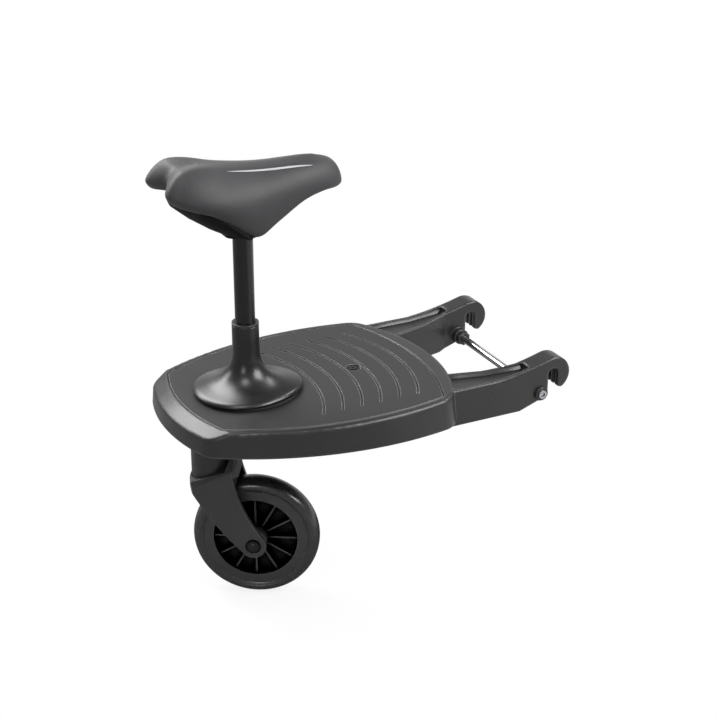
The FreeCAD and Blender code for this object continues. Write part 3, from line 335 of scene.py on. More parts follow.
@dataclass(frozen=True)
class Leatherette:
    """Vinyl skin embossed with a small pebble grain, over foam: soft broad highlights and a faint sheen."""

    name: str
    colour: str
    valley: str
    roughness: float
    pebble: float
    pebble_height: float
    pebble_softness: float = 0.6
    # Size of the drift that bends the rows of pebbles, and how far it bends them
    drift: float = 3.0
    drift_share: float = 0.0006
    valley_span: Pair = (0.35, 0.75)
    valley_share: float = 0.5
    cloud: float = 55.0
    mottle: Pair = (0.9, 1.1)
    gloss_drift: float = 0.05
    ior: float = 1.46
    sheen: float = 0.08
    sheen_roughness: float = 0.4

    def material(self) -> Material:
        """Builds the node material.

        Returns:
            The material, with its pebbles on Object coordinates.
        """
        material = bpy.data.materials.new(self.name)
        tree = empty_tree(material)
        place = add_node(tree, "ShaderNodeTexCoord").outputs["Object"]
        drift, cloud = (add_node(tree, "ShaderNodeTexNoise", {
            "Vector": place, "Scale": per_mm(size), "Detail": detail})
            for size, detail in ((self.drift, FINE_DETAIL), (self.cloud, CLOUD_DETAIL)))
        bent = add_node(tree, "ShaderNodeMix", {0: self.drift_share, 4: place, 5: drift.outputs["Color"]},
                        data_type="VECTOR")
        pebbles = add_node(tree, "ShaderNodeTexVoronoi", {
            "Vector": bent.outputs[1], "Scale": per_mm(self.pebble), "Smoothness": self.pebble_softness},
            feature="SMOOTH_F1")
        valley = add_node(tree, "ShaderNodeMapRange", {
            "Value": pebbles.outputs["Distance"], **ends("From", self.valley_span),
            **ends("To", (0.0, self.valley_share))})
        colour = add_node(tree, "ShaderNodeMix", {
            0: valley.outputs["Result"], 6: linear(self.colour), 7: linear(self.valley)}, data_type="RGBA")
        tone = add_node(tree, "ShaderNodeMapRange", {
            "Value": cloud.outputs["Fac"], **ends("From", NOISE), **ends("To", self.mottle)})
        worn = add_node(tree, "ShaderNodeHueSaturation", {
            "Value": tone.outputs["Result"], "Color": colour.outputs[2]})
        gloss = add_node(tree, "ShaderNodeMapRange", {
            "Value": cloud.outputs["Fac"], **ends("From", NOISE),
            **ends("To", (self.roughness - self.gloss_drift, self.roughness + self.gloss_drift))})
        bump = add_node(tree, "ShaderNodeBump", {
            "Distance": self.pebble_height * MM, "Height": pebbles.outputs["Distance"]},
            invert=True)
        show_surface(tree, {
            "Base Color": worn.outputs["Color"], "Roughness": gloss.outputs["Result"],
            "Normal": bump.outputs["Normal"], "IOR": self.ior,
            "Sheen Weight": self.sheen, "Sheen Roughness": self.sheen_roughness})
        return material


# Moulded grain is really 0.1 to 0.2 mm across, and marks on plated metal are finer: too fine to show in the
# render, so the sizes of grain and marks below are drawn coarser

# Polypropylene from a spark-eroded tool: nearly black, satin, with soft white reflections and pale edges, partly
# wear and partly painted highlight
POLYPROPYLENE = MouldedPlastic("moulded_polypropylene", "#252526", "#7c7c7f", 0.31, 1.3, 0.012, edge=1.3,
                               edge_wear_and_highlight=0.9)
# The same on the board, whose edges are rounder, with a broad painted highlight along them and painted shade in
# its narrow slots
BOARD_POLYPROPYLENE = replace(POLYPROPYLENE, name="moulded_polypropylene_board", edge=3.8, edge_wear_and_highlight=0.6,
                              recess=5.0, recess_tone=0.1, recess_span=(0.25, 0.75))
# The same on the fork, with painted shade between its two legs
FORK_POLYPROPYLENE = replace(POLYPROPYLENE, name="moulded_polypropylene_fork", colour="#303031", recess=45.0,
                             recess_tone=0.05, recess_span=(0.55, 0.95))
# Polypropylene from a plain tool, under the saddle: black and dull, with few reflections
DULL_POLYPROPYLENE = MouldedPlastic("plain_polypropylene", "#0c0c0d", "#202021", 0.6, 1.3, 0.02, specular=0.2)
# Rubbery thermoplastic of the tread: greyer and duller, with a coarser grain that gives grip, pale painted
# highlights along the edges of its grooves and painted shade inside them
TREAD = MouldedPlastic("moulded_thermoplastic_tread", "#1f1f20", "#a2a2a4", 0.44, 1.4, 0.03, edge=1.2,
                       edge_wear_and_highlight=1.8, recess=4.0, recess_tone=0.15)
# High-gloss ABS from a polished tool: black, with clear reflections of the lamps
GLOSS_ABS = MouldedPlastic("polished_abs", "#131314", "#5c5c5e", 0.3, 3.0, 0.002, edge=0.8, edge_wear_and_highlight=0.5,
                           ior=1.54)
# Glass-filled nylon of the wheel: black and satin, a little speckled, with painted shade that turns its hollows
# black and pale painted highlights along its rib edges
NYLON = MouldedPlastic("moulded_nylon", "#363637", "#8c8c8e", 0.34, 1.2, 0.012, edge=0.8, edge_wear_and_highlight=1.2,
                       specular=0.4, recess=26.0, recess_tone=0.0, recess_span=(0.6, 0.95))
# Powder coat on steel: black with a slight orange-peel ripple
POWDER_COAT = CoatedMetal("black_powder_coated_steel", "#0d0d0e", 0.0, 0.22, (2.4, 2.4, 2.4), 0.004)
# Zinc plating: pale bluish grey metal with a faint drawn grain
ZINC = CoatedMetal("zinc_plated_steel", "#b9bbbf", 1.0, 0.3, (0.8, 0.8, 6.0), 0.008)
# Zinc plating passivated black: a dark metal that still glints
BLACK_ZINC = CoatedMetal("black_passivated_zinc", "#3a3a3c", 1.0, 0.28, (0.8, 0.8, 6.0), 0.008)
# Chrome plating on a ground rod: near-white mirror with the faintest lines round it
CHROME = CoatedMetal("chromed_steel", "#d8d9dc", 1.0, 0.09, (6.0, 0.9, 6.0), 0.003)
# Nitrile rubber gasket: black and dull
RUBBER = MouldedPlastic("moulded_nitrile_rubber", "#0e0e0e", "#1c1c1c", 0.7, 1.2, 0.03)
# Acetal bush: pale grey, waxy and smooth
ACETAL = MouldedPlastic("turned_acetal", "#6a6a6a", "#8a8a8a", 0.35, 1.0, 0.01)
# Polyurethane tyre: black and satin, its edges paler, partly scuffs and partly painted highlight
POLYURETHANE = MouldedPlastic("cast_polyurethane", "#2a2a2b", "#4c4c4d", 0.26, 1.6, 0.006, cloud=18.0,
                              specular=0.75)
# Vinyl leatherette over foam: dark grey; the real pebbles are about 0.8 mm and are drawn coarser to show
VINYL = Leatherette("vinyl_leatherette", "#333335", "#262627", 0.54, 1.3, 0.03)
# Screen-printed stripe: pale grey ink with a slight grain
STRIPE_INK = MouldedPlastic("screen_printed_ink", "#b0b1b3", "#b0b1b3", 0.45, 1.2, 0.01, edge=0.1,
                            edge_wear_and_highlight=0.0)

FINISHES: dict[Slot, MouldedPlastic | CoatedMetal | Leatherette] = {
    Slot.BLACK_MOULDING: POLYPROPYLENE,
    Slot.TREAD_MOULDING: TREAD,
    Slot.GLOSSY_MOULDING: GLOSS_ABS,
    Slot.WHEEL_MOULDING: NYLON,
    Slot.BLACK_PAINT: POWDER_COAT,
    Slot.ZINC_STEEL: ZINC,
    Slot.BRIGHT_CHROME: CHROME,
    Slot.SOFT_RUBBER: RUBBER,
    Slot.BEARING_PLASTIC: ACETAL,
    Slot.SADDLE_SKIN: VINYL,
    Slot.BLACK_TYRE: POLYURETHANE,
}
# Nodes whose surface differs from the rest of their slot
OWN_FINISHES: dict[str, MouldedPlastic | CoatedMetal] = {
    "board_shell": BOARD_POLYPROPYLENE,
    "saddle_pan": DULL_POLYPROPYLENE,
    "tread_screw": BLACK_ZINC,
    "axle_bolt": BLACK_ZINC,
    "caster_fork": FORK_POLYPROPYLENE,
}


class Wardrobe:
    """Materials by slot, each made once."""

    def __init__(self) -> None:
        """Makes the material of every slot."""
        self.by_slot = {slot: finish.material() for slot, finish in FINISHES.items()}
        self.by_node = {node: finish.material() for node, finish in OWN_FINISHES.items()}
        self.stripe = STRIPE_INK.material()

    def dress_frame(self) -> None:
        """Gives every node of the frame the material of its slot."""
        for entry in frame["record"]["subparts"]:
            node = frame["nodes"][entry["node"]]
            material = self.by_node.get(entry["node"]) or self.by_slot[Slot(entry["material_slot"])]
            for slot in node.material_slots:
                slot.material = material
            LOG.info("frame piece %s in %s", node.name, material.name)

    def dress(self, piece: Object, slot: Slot, material: Material | None = None) -> None:
        """Gives a new piece the material of its slot, or a material of its own.

        Args:
            piece: Finished mesh object.
            slot: Record slot whose material the piece gets.
            material: Material of its own, where it isn't the slot's.
        """
        piece.data.materials.clear()
        piece.data.materials.append(material or self.by_slot[slot])


def clear_selection() -> None:
    """Leaves edit mode and deselects every object."""
    if bpy.context.object is not None and bpy.context.object.mode != "OBJECT":
        bpy.ops.object.mode_set(mode="OBJECT")
    bpy.ops.object.select_all(action="DESELECT")


def choose(piece: Object) -> None:
    """Makes one object the only selected and active one.

    Args:
        piece: The object.
    """
    clear_selection()
    piece.select_set(True)
    bpy.context.view_layer.objects.active = piece


def pick(piece: Object, test: Callable[[bmesh.types.BMVert], bool]) -> None:
    """Selects some points of an edit-mode mesh.

    Args:
        piece: Object in edit mode.
        test: True for the points that are wanted.
    """
    bpy.ops.mesh.select_mode(type="VERT")
    bpy.ops.mesh.select_all(action="DESELECT")
    mesh = bmesh.from_edit_mesh(piece.data)
    for point in mesh.verts:
        if test(point):
            point.select_set(True)
    bmesh.update_edit_mesh(piece.data)


def apply_modifier(piece: Object, kind: str, **settings: Any) -> None:
    """Adds a modifier and applies it.

    Args:
        piece: Mesh object.
        kind: Blender's name of the modifier type.
        **settings: Properties of the modifier.
    """
    choose(piece)
    modifier = piece.modifiers.new(kind.lower(), kind)
    for name, value in settings.items():
        setattr(modifier, name, value)
    bpy.ops.object.modifier_apply(modifier=modifier.name)


def settle(piece: Object, body: Body, replaced: tuple[str, ...] = (), angle: float = 40.0) -> None:
    """Finishes a piece: place in its mesh, smooth shading, its body and the nodes it stands for.

    Args:
        piece: Mesh object.
        body: Body that it rides on.
        replaced: Nodes of the frame that it replaces.
        angle: Edges sharper than this many degrees stay sharp.
    """
    choose(piece)
    bpy.ops.object.transform_apply(location=True, rotation=True, scale=True)
    bpy.ops.object.shade_smooth_by_angle(angle=math.radians(angle))
    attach(piece, body.value)
    if replaced:
        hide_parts(*replaced)


def chain(name: str, points: list[Triple]) -> Object:
    """Draws a chain of edges by extruding one point, and leaves it in edit mode.

    Args:
        name: Name of the new object.
        points: Places in millimetres.

    Returns:
        The object, in edit mode, at the origin.
    """
    clear_selection()
    bpy.ops.mesh.primitive_plane_add(size=MM, location=Vector(points[0]) * MM)
    piece = bpy.context.object
    piece.name = name
    bpy.ops.object.transform_apply(location=True, rotation=True, scale=True)
    bpy.ops.object.mode_set(mode="EDIT")
    bpy.ops.mesh.select_all(action="SELECT")
    bpy.ops.mesh.merge(type="CENTER")
    for before, after in zip(points, points[1:]):
        step = (Vector(after) - Vector(before)) * MM
        bpy.ops.mesh.extrude_vertices_move(TRANSFORM_OT_translate={"value": step})
    return piece


def spun(name: str, profile: list[Pair], steps: int) -> Object:
    """Spins a closed profile about the upright line through the origin.

    Args:
        name: Name of the new object.
        profile: Radius and height of each point in millimetres, in order round the section.
        steps: Number of steps in the full turn.

    Returns:
        The ring, in object mode, at the origin.
    """
    piece = chain(name, [(radius, 0.0, height) for radius, height in profile])
    pick(piece, lambda point: len(point.link_edges) == 1)
    bpy.ops.mesh.edge_face_add()
    bpy.ops.mesh.select_all(action="SELECT")
    bpy.ops.mesh.spin(steps=steps, angle=math.tau, center=(0, 0, 0), axis=(0, 0, 1))
    bpy.ops.mesh.select_all(action="SELECT")
    bpy.ops.mesh.remove_doubles(threshold=SEAM_WELD * MM)
    bpy.ops.mesh.normals_make_consistent(inside=False)
    bpy.ops.object.mode_set(mode="OBJECT")
    return piece


def stand(piece: Object, foot: Vector, axis: Vector) -> None:
    """Stands a spun piece on a point in metres, with its upright line along an axis."""
    turn = axis.to_track_quat("Z", "Y").to_matrix().to_4x4()
    piece.matrix_world = Matrix.Translation(foot) @ turn


def bow(centre: Pair, radius: float, start: float, end: float, count: int) -> list[Pair]:
    """Points along a round in a section.

    Args:
        centre: Radius and height of its centre in millimetres.
        radius: Its radius in millimetres.
        start: First angle in degrees, from outwards towards up.
        end: Last angle in degrees.
        count: Number of points.

    Returns:
        Radius and height of each point.
    """
    angles = [math.radians(start + (end - start) * number / (count - 1)) for number in range(count)]
    return [(centre[0] + radius * math.cos(a), centre[1] + radius * math.sin(a)) for a in angles]


def through(keys: list[Vector], place: float) -> Vector:
    """Point on a smooth closed line through key points.

    Args:
        keys: Key points in order round the line.
        place: Place along it, one unit for each key.

    Returns:
        The point.
    """
    start = math.floor(place)
    share = place - start
    a, b, c, d = (keys[(start + step) % len(keys)] for step in (-1, 0, 1, 2))
    return 0.5 * (2 * b + (c - a) * share + (2 * a - 5 * b + 4 * c - d) * share ** 2
                  + (3 * b - a - 3 * c + d) * share ** 3)


def part_way(start: Vector, end: Vector, across: float, up: float) -> Vector:
    """Point between two others, by one share across and another up."""
    return Vector((start.x + (end.x - start.x) * across, start.y + (end.y - start.y) * across,
                   start.z + (end.z - start.z) * up))


@dataclass
class Saddle:
    """Padded cover of the saddle with two rear lobes, and its two printed stripes.

    Places are millimetres along from the rear, out from the middle and up from the saddle's base.
    Each tuple of keys goes round one half, from the nose to the notch between the lobes.
    """

    rear: float = -434.0
    base: float = 189.0
    widest: tuple[Triple, ...] = (
        (216, 0, 45), (214.5, 8, 46), (209.5, 15, 48), (195, 22.5, 50), (163, 29, 50), (131, 35.2, 46),
        (103, 41.2, 42), (73, 47, 46), (47, 49.5, 53), (24, 47, 60), (8, 40, 64), (2, 29, 66), (9, 14, 69),
        (16, 0, 72))
    lower_edge: tuple[Triple, ...] = (
        (211, 0, 40), (210, 5.5, 40), (203, 12.5, 40.5), (183, 20, 40.5), (160, 25, 34), (131, 28.5, 17),
        (104, 32.2, 4.4), (70, 40, 27), (48, 42, 40), (28, 41, 47.5), (12, 34, 53.5), (7, 26, 58.5),
        (11, 13, 61.5), (19, 0, 62))
    ridge: tuple[Triple, ...] = (
        (194, 0, 75.8), (193, 5, 75.2), (188.5, 9, 75.3), (172, 12, 76.6), (150, 13, 76.8), (126, 14, 77),
        (100, 15, 79.3), (70, 18, 83.5), (48, 23, 88.5), (34, 26, 90), (27, 26, 90), (24, 23, 89.5),
        (24, 13, 87.5), (28, 0, 85.5))
    spine: tuple[Triple, ...] = (
        *((178, 0, 79.4),) * 3, (166, 0, 80.1), (146, 0, 79.5), (122, 0, 79.5), (97, 0, 81.3), (74, 0, 84),
        (62, 0, 85.5), *((56, 0, 86.5),) * 5)
    fullness: tuple[float, ...] = (2.0, 2.0, 1.9, 1.8, 1.7, 1.6, 1.55, 1.55, 1.5, 1.45, 1.4, 1.35, 1.4, 1.6)
    steps_per_key: int = 6
    side_rows: int = 7
    shoulder_rows: int = 9
    crown_rows: int = 6
    side_bulge: float = 1.6
    edge_round: float = 2.5
    tuck: float = 7.0
    crease: float = 70.0
    foam_fill: float = 0.85
    held_rows: tuple[float, ...] = (1.0, 1.0, 1.0, 1.0, 0.6, 0.25)
    glued_rows: tuple[float, ...] = (1.0, 1.0, 1.0, 1.0, 0.8, 0.5, 0.2)
    soft_rounds: int = 16
    soft_share: float = 0.5
    slack: float = 0.4
    swell_cap: float = 3.0
    swell_pressure: float = 9.0
    swell_frames: int = 20
    stripe_width: float = 3.2
    stripe_thickness: float = 0.3
    stripe_lift: float = 0.2
    # Shares of its width that the stripe goes out and down
    stripe_slope: Pair = (0.5, 0.85)
    stripe_tip: float = 0.25
    stripe_taper: float = 0.8
    stripe: tuple[Triple, ...] = (
        (74, 20, 80.5), (87, 19, 79), (100, 18.5, 78), (113, 18, 77.2), (126, 18, 76.8), (139, 18, 76.5),
        (152, 17.5, 75.5), (164, 17, 74.3), (175, 16.5, 72.8))

    def place(self, spot: Triple) -> Vector:
        """Point of the frame in metres, from a place on the saddle."""
        return Vector((self.rear + spot[0], spot[1], self.base + spot[2])) * MM

    def loop(self, keys: tuple[Triple, ...]) -> list[Vector]:
        """Lays a line's keys all the way round the saddle.

        Args:
            keys: Keys of one half, from the nose to the notch.

        Returns:
            Points of that half, then of the other half mirrored, in metres.
        """
        half = [self.place(key) for key in keys]
        other = [Vector((spot.x, -spot.y, spot.z)) for spot in half[-2:0:-1]]
        return half + other

    def meridian(self, place: float) -> list[Vector]:
        """Points from the tucked-under edge, over the shoulder, to the spine.

        Args:
            place: Place round the saddle, one unit for each key.

        Returns:
            The points in metres.
        """
        low, wide, high, mid = (through(self.loop(keys), place)
                                for keys in (self.lower_edge, self.widest, self.ridge, self.spine))
        rounds = [Vector((value, 0, 0)) for value in self.fullness + self.fullness[-2:0:-1]]
        power = 2 / through(rounds, place).x
        inward = Vector((mid.x - low.x, mid.y - low.y, 0)).normalized()
        points = [low + inward * self.tuck * 2 * MM + Vector((0, 0, self.tuck * MM)),
                  low + inward * self.tuck * MM + Vector((0, 0, self.edge_round * MM)),
                  low + inward * self.edge_round * MM]
        for row in range(1, self.side_rows):
            share = row / self.side_rows
            across = 1 - (1 - share) ** self.side_bulge
            points.append(part_way(low, wide, across, share))
        for row in range(self.shoulder_rows):
            turn = math.pi / 2 * row / self.shoulder_rows
            across = 1 - math.cos(turn) ** power
            points.append(part_way(wide, high, across, math.sin(turn) ** power))
        for row in range(self.crown_rows + 1):
            share = row / self.crown_rows
            fall = (1 - math.cos(math.pi * share)) / 2
            points.append(part_way(high, mid, share, fall))
        return points

    def skin(self) -> Object:
        """Draws the cover's closed skin in mesh code.

        Returns:
            The cover before it is filled.
        """
        count = 2 * (len(self.widest) - 1) * self.steps_per_key
        mesh = bmesh.new()
        weights = mesh.verts.layers.deform.verify()
        columns = []
        for number in range(count):
            spots = self.meridian(number / self.steps_per_key)
            floor = Vector((spots[-1].x, 0, spots[0].z))
            column = [mesh.verts.new(spot) for spot in [floor] + spots]
            for row, hold in enumerate(self.held_rows):
                column[row][weights][0] = hold
                column[row][weights][1] = hold
            for row, hold in enumerate(self.glued_rows):
                column[-1 - row][weights][1] = hold
            columns.append(column)
        for number, column in enumerate(columns):
            before = columns[number - 1]
            for row in range(len(column) - 1):
                mesh.faces.new((before[row], before[row + 1], column[row + 1], column[row]))
        bmesh.ops.remove_doubles(mesh, verts=mesh.verts, dist=SKIN_WELD * MM)
        bmesh.ops.dissolve_degenerate(mesh, edges=mesh.edges, dist=SAME_PLACE * MM)
        bmesh.ops.recalc_face_normals(mesh, faces=mesh.faces)
        data = bpy.data.meshes.new("saddle_padding")
        mesh.to_mesh(data)
        mesh.free()
        cover = bpy.data.objects.new("saddle_padding", data)
        cover.vertex_groups.new(name="held_edge")
        cover.vertex_groups.new(name="held_and_glued")
        bpy.context.scene.collection.objects.link(cover)
        return cover

    def fill(self, cover: Object) -> None:
        """Blows the foam up inside the skin by a cloth simulation and caps how far it moves.

        Args:
            cover: The skin, whose lower edge stays held and whose spine stays glued to the foam.
        """
        start = [point.co.copy() for point in cover.data.vertices]
        for point in cover.data.vertices:
            hold = max((group.weight for group in point.groups), default=0.0)
            point.co -= point.normal * self.slack * (1 - hold) * MM
        choose(cover)
        cloth = cover.modifiers.new("foam_pressure", "CLOTH")
        cloth.settings.use_pressure = True
        cloth.settings.uniform_pressure_force = self.swell_pressure
        cloth.settings.vertex_group_mass = "held_and_glued"
        cloth.settings.effector_weights.gravity = 0
        scene = bpy.context.scene
        for number in range(1, self.swell_frames + 1):
            scene.frame_set(number)
        bpy.ops.object.modifier_apply(modifier=cloth.name)
        scene.frame_set(1)
        for point, origin in zip(cover.data.vertices, start):
            moved = point.co - origin
            if moved.length > self.swell_cap * MM:
                point.co = origin + moved.normalized() * self.swell_cap * MM
        cover.vertex_groups.clear()

    def stripe_strip(self, cover: Object, side: int) -> Object:
        """Lays one tapered printed stripe on the shoulder of the cover.

        Args:
            cover: Finished cover.
            side: 1 for the left, -1 for the right.

        Returns:
            The stripe.
        """
        spots = [self.place((along, out * side, up)) / MM for along, out, up in self.stripe]
        name = "saddle_stripe_left" if side > 0 else "saddle_stripe_right"
        strip = chain(name, [tuple(spot) for spot in spots])
        bpy.ops.mesh.select_all(action="SELECT")
        out, down = (self.stripe_width * share * MM for share in self.stripe_slope)
        drop = (0, side * out, -down)
        bpy.ops.mesh.extrude_edges_move(TRANSFORM_OT_translate={"value": drop})
        for number, spot in enumerate(spots):
            turn = math.pi * (number + self.stripe_tip) / (len(spots) - 1 + 2 * self.stripe_tip)
            share = math.sin(turn) ** self.stripe_taper
            near = spot * MM
            pick(strip, lambda point: abs(point.co.x - near.x) < SAME_PLACE * MM)
            middle = near + Vector(drop) / 2
            bpy.ops.transform.resize(value=(1, share, share), center_override=middle)
        bpy.ops.object.mode_set(mode="OBJECT")
        apply_modifier(strip, "SUBSURF", levels=2, render_levels=2)
        apply_modifier(strip, "SHRINKWRAP", target=cover, wrap_method="NEAREST_SURFACEPOINT",
                       wrap_mode="ABOVE_SURFACE", offset=self.stripe_lift * MM)
        apply_modifier(strip, "SOLIDIFY", thickness=self.stripe_thickness * MM, offset=0.0)
        return strip

    def build(self, wardrobe: Wardrobe) -> list[Object]:
        """Makes and dresses the cover and its stripes.

        Args:
            wardrobe: Materials by slot.

        Returns:
            The new pieces.
        """
        cover = self.skin()
        apply_modifier(cover, "SMOOTH", factor=self.soft_share, iterations=self.soft_rounds,
                       vertex_group="held_edge", invert_vertex_group=True)
        self.fill(cover)
        apply_modifier(cover, "SUBSURF", levels=1, render_levels=1)
        settle(cover, Body.SEAT, ("saddle_cover",), angle=self.crease)
        wardrobe.dress(cover, Slot.SADDLE_SKIN)
        pieces = [cover]
        for side in (1, -1):
            strip = self.stripe_strip(cover, side)
            settle(strip, Body.SEAT)
            wardrobe.dress(strip, Slot.SADDLE_SKIN, wardrobe.stripe)
            pieces.append(strip)
        return pieces


@dataclass
class SeatBoot:
    """Flared glossy socket of the seat post, with a three-cornered foot."""

    bore_radius: float = 12.6
    neck_radius: float = 15.0
    foot_radius: float = 58.5
    # Rim of the foot: out from its radius, and up
    foot_rim: tuple[Pair, ...] = ((-1.0, 0.0), (0.0, 0.6), (0.3, 1.4), (0.0, 2.2), (-0.7, 2.9))
    neck_foot: float = 58.0
    mouth_round: float = 1.2
    mouth_points: int = 5
    # Share of the neck's radius inside which the boot stays round
    round_reach: float = 1.3
    crease: float = 50.0
    foot_oblong: float = 0.06
    foot_corners: float = 0.035
    corner_count: int = 3
    flare: tuple[Pair, ...] = (
        (57, 3.9), (55, 4.8), (52, 5.9), (46, 7.7), (40, 10), (34, 13.1), (28, 17.2), (24, 21), (20.5, 25.6),
        (18.2, 30), (16.6, 35), (15.7, 40), (15.3, 45), (15.1, 50))
    steps: int = 144

    def build(self, wardrobe: Wardrobe) -> list[Object]:
        """Makes and dresses the boot.

        Args:
            wardrobe: Materials by slot.

        Returns:
            The new piece.
        """
        low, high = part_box("seat_boot")
        height = (high.z - low.z) / MM
        profile = [(self.bore_radius, 0.0)] + [(self.foot_radius + out, up) for out, up in self.foot_rim]
        profile += list(self.flare) + [(self.neck_radius, self.neck_foot)]
        mouth = (self.neck_radius - self.mouth_round, height - self.mouth_round)
        profile += bow(mouth, self.mouth_round, 0.0, 90.0, self.mouth_points) + [(self.bore_radius, height)]
        boot = spun("seat_boot_flare", profile, self.steps)
        # No operator gives the foot its soft corners, so its points are moved in code
        still = self.neck_radius * self.round_reach
        for point in boot.data.vertices:
            reach = math.hypot(point.co.x, point.co.y) / MM
            share = min(max((reach - still) / (self.foot_radius - still), 0), 1)
            turn = math.atan2(point.co.y, point.co.x)
            corners = self.foot_corners * math.cos(self.corner_count * turn)
            grow = 1 + (self.foot_oblong * math.cos(2 * turn) + corners) * share
            point.co.x *= grow
            point.co.y *= grow
        boot.location = ((low.x + high.x) / 2, (low.y + high.y) / 2, low.z)
        settle(boot, Body.BOARD, ("seat_boot",), self.crease)
        wardrobe.dress(boot, Slot.GLOSSY_MOULDING)
        return [boot]


@dataclass
class Tyre:
    """Smooth tyre with full rounded shoulders and a rolled edge beside the rim."""

    radius: float = 72.2
    half_width: float = 14.5
    seat_radius: float = 58.7
    seat_half_width: float = 12.4
    belly_radius: float = 63.0
    # Rolled edge: out from the seat's radius, and sideways from its width
    rolled_edge: tuple[Pair, ...] = ((0.8, 0.55), (2.2, 1.15), (3.8, 1.7))
    crease: float = 50.0
    fullness: float = 2.25
    crown_points: int = 29
    steps: int = 160

    def build(self, wardrobe: Wardrobe) -> list[Object]:
        """Makes and dresses the tyre on the wheel's axle.

        Args:
            wardrobe: Materials by slot.

        Returns:
            The new piece.
        """
        axle = joint(WHEEL_JOINT)
        crown = []
        for number in range(self.crown_points):
            turn = math.pi * number / (self.crown_points - 1)
            out = math.copysign(abs(math.cos(turn)) ** (2 / self.fullness), -math.cos(turn))
            rise = math.sin(turn) ** (2 / self.fullness)
            reach = self.belly_radius + (self.radius - self.belly_radius) * rise
            crown.append((reach, self.half_width * out))
        far = [(self.seat_radius + up, self.seat_half_width + out) for up, out in reversed(self.rolled_edge)]
        near = [(reach, -out) for reach, out in reversed(far)]
        seat = [(self.seat_radius, self.seat_half_width), (self.seat_radius, -self.seat_half_width)]
        tyre = spun("tyre_casing", near + crown + far + seat, self.steps)
        stand(tyre, Vector(axle["pos_m"]), Vector(axle["axis"]))
        settle(tyre, Body.WHEEL, ("tyre",), self.crease)
        wardrobe.dress(tyre, Slot.BLACK_TYRE)
        return [tyre]


@dataclass
class AxleCap:
    """Domed glossy cap in the socket of the axle bolt's head."""

    head_reach: float = 33.2
    radius: float = 4.6
    height: float = 1.9
    points: int = 9
    steps: int = 64

    def build(self, wardrobe: Wardrobe) -> list[Object]:
        """Makes and dresses the cap on the near end of the axle.

        Args:
            wardrobe: Materials by slot.

        Returns:
            The new piece.
        """
        axle = joint(WHEEL_JOINT)
        outward = -Vector(axle["axis"]).normalized()
        ball = (self.radius ** 2 + self.height ** 2) / (2 * self.height)
        start = math.degrees(math.asin((ball - self.height) / ball))
        dome = bow((0.0, self.height - ball), ball, start, 90.0, self.points)
        cap = spun("axle_cap", [(0.0, 0.0)] + dome, self.steps)
        stand(cap, Vector(axle["pos_m"]) + outward * self.head_reach * MM, outward)
        settle(cap, Body.FORK)
        wardrobe.dress(cap, Slot.BLACK_PAINT)
        return [cap]


@dataclass
class TroughRails:
    """Sloped rails along both walls of the trough in the top of each arm.

    Paths are the left arm's, in millimetres, at the foot of the trough's walls.
    """

    inner_path: tuple[Triple, ...] = (
        (-119, 65.3, 0.4), (-103, 68.1, 0.4), (-90, 71.4, 0.4), (-76, 75, 0.4), (-62, 78.6, 1.7),
        (-48, 82.2, 3), (-31.5, 85.4, 4.5))
    outer_path: tuple[Triple, ...] = (
        (-126, 103.7, 0.4), (-103, 103.7, 0.4), (-90, 103.7, 0.4), (-76, 103.7, 0.4), (-62, 103.7, 1.7),
        (-48, 103.7, 3), (-31.5, 103.7, 4.5))
    foot: float = 3.9
    rise: float = 4.4
    thickness: float = 1.4
    edge_round: float = 0.5
    edge_segments: int = 3

    def rail(self, name: str, path: tuple[Triple, ...], lean: int) -> Object:
        """Models one rail.

        Args:
            name: Name of the new object.
            path: Foot of the wall that it leans on.
            lean: 1 where the trough's middle lies to the left of the wall, -1 where it lies to the right.

        Returns:
            The rail on the left arm.
        """
        strip = chain(name, [(x, y + lean * self.foot, z) for x, y, z in path])
        bpy.ops.mesh.select_all(action="SELECT")
        slope = (0, -lean * self.foot * MM, self.rise * MM)
        bpy.ops.mesh.extrude_edges_move(TRANSFORM_OT_translate={"value": slope})
        bpy.ops.mesh.select_all(action="SELECT")
        bpy.ops.mesh.normals_make_consistent(inside=False)
        bpy.ops.object.mode_set(mode="OBJECT")
        apply_modifier(strip, "SOLIDIFY", thickness=self.thickness * MM, offset=0.0)
        apply_modifier(strip, "BEVEL", width=self.edge_round * MM, segments=self.edge_segments)
        return strip

    def opposite(self, rail: Object, name: str) -> Object:
        """Copies a rail to the other arm, mirrored.

        Args:
            rail: Finished rail of the left arm.
            name: Name of the copy.

        Returns:
            The copy, with a mesh of its own.
        """
        other = rail.copy()
        other.data = rail.data.copy()
        other.name = name
        bpy.context.scene.collection.objects.link(other)
        choose(other)
        bpy.ops.object.mode_set(mode="EDIT")
        bpy.ops.mesh.select_all(action="SELECT")
        bpy.ops.transform.resize(value=(1, -1, 1), center_override=(0, 0, 0))
        bpy.ops.mesh.normals_make_consistent(inside=False)
        bpy.ops.object.mode_set(mode="OBJECT")
        return other

    def build(self, wardrobe: Wardrobe) -> list[Object]:
        """Makes and dresses the four rails.

        Args:
            wardrobe: Materials by slot.

        Returns:
            The new pieces.
        """
        pieces = []
        for wall, path, lean in (("inner", self.inner_path, 1), ("outer", self.outer_path, -1)):
            rail = self.rail(f"trough_rail_{wall}_left", path, lean)
            pieces += [rail, self.opposite(rail, f"trough_rail_{wall}_right")]
        for rail in pieces:
            settle(rail, Body.BOARD)
            wardrobe.dress(rail, Slot.BLACK_MOULDING)
        return pieces


def aim(name: str, data: ID, target: Vector, back: Vector, distance: float) -> Object:
    """Hangs a lamp or a camera.

    Args:
        name: Name of the new object.
        data: The lamp or camera itself.
        target: Point that it faces, in metres.
        back: Direction from that point to it.
        distance: Distance from that point, in metres.

    Returns:
        The new object.
    """
    holder = bpy.data.objects.new(name, data)
    holder.location = target + back * distance
    holder.rotation_euler = back.to_track_quat("Z", "Y").to_euler()
    bpy.context.scene.collection.objects.link(holder)
    return holder


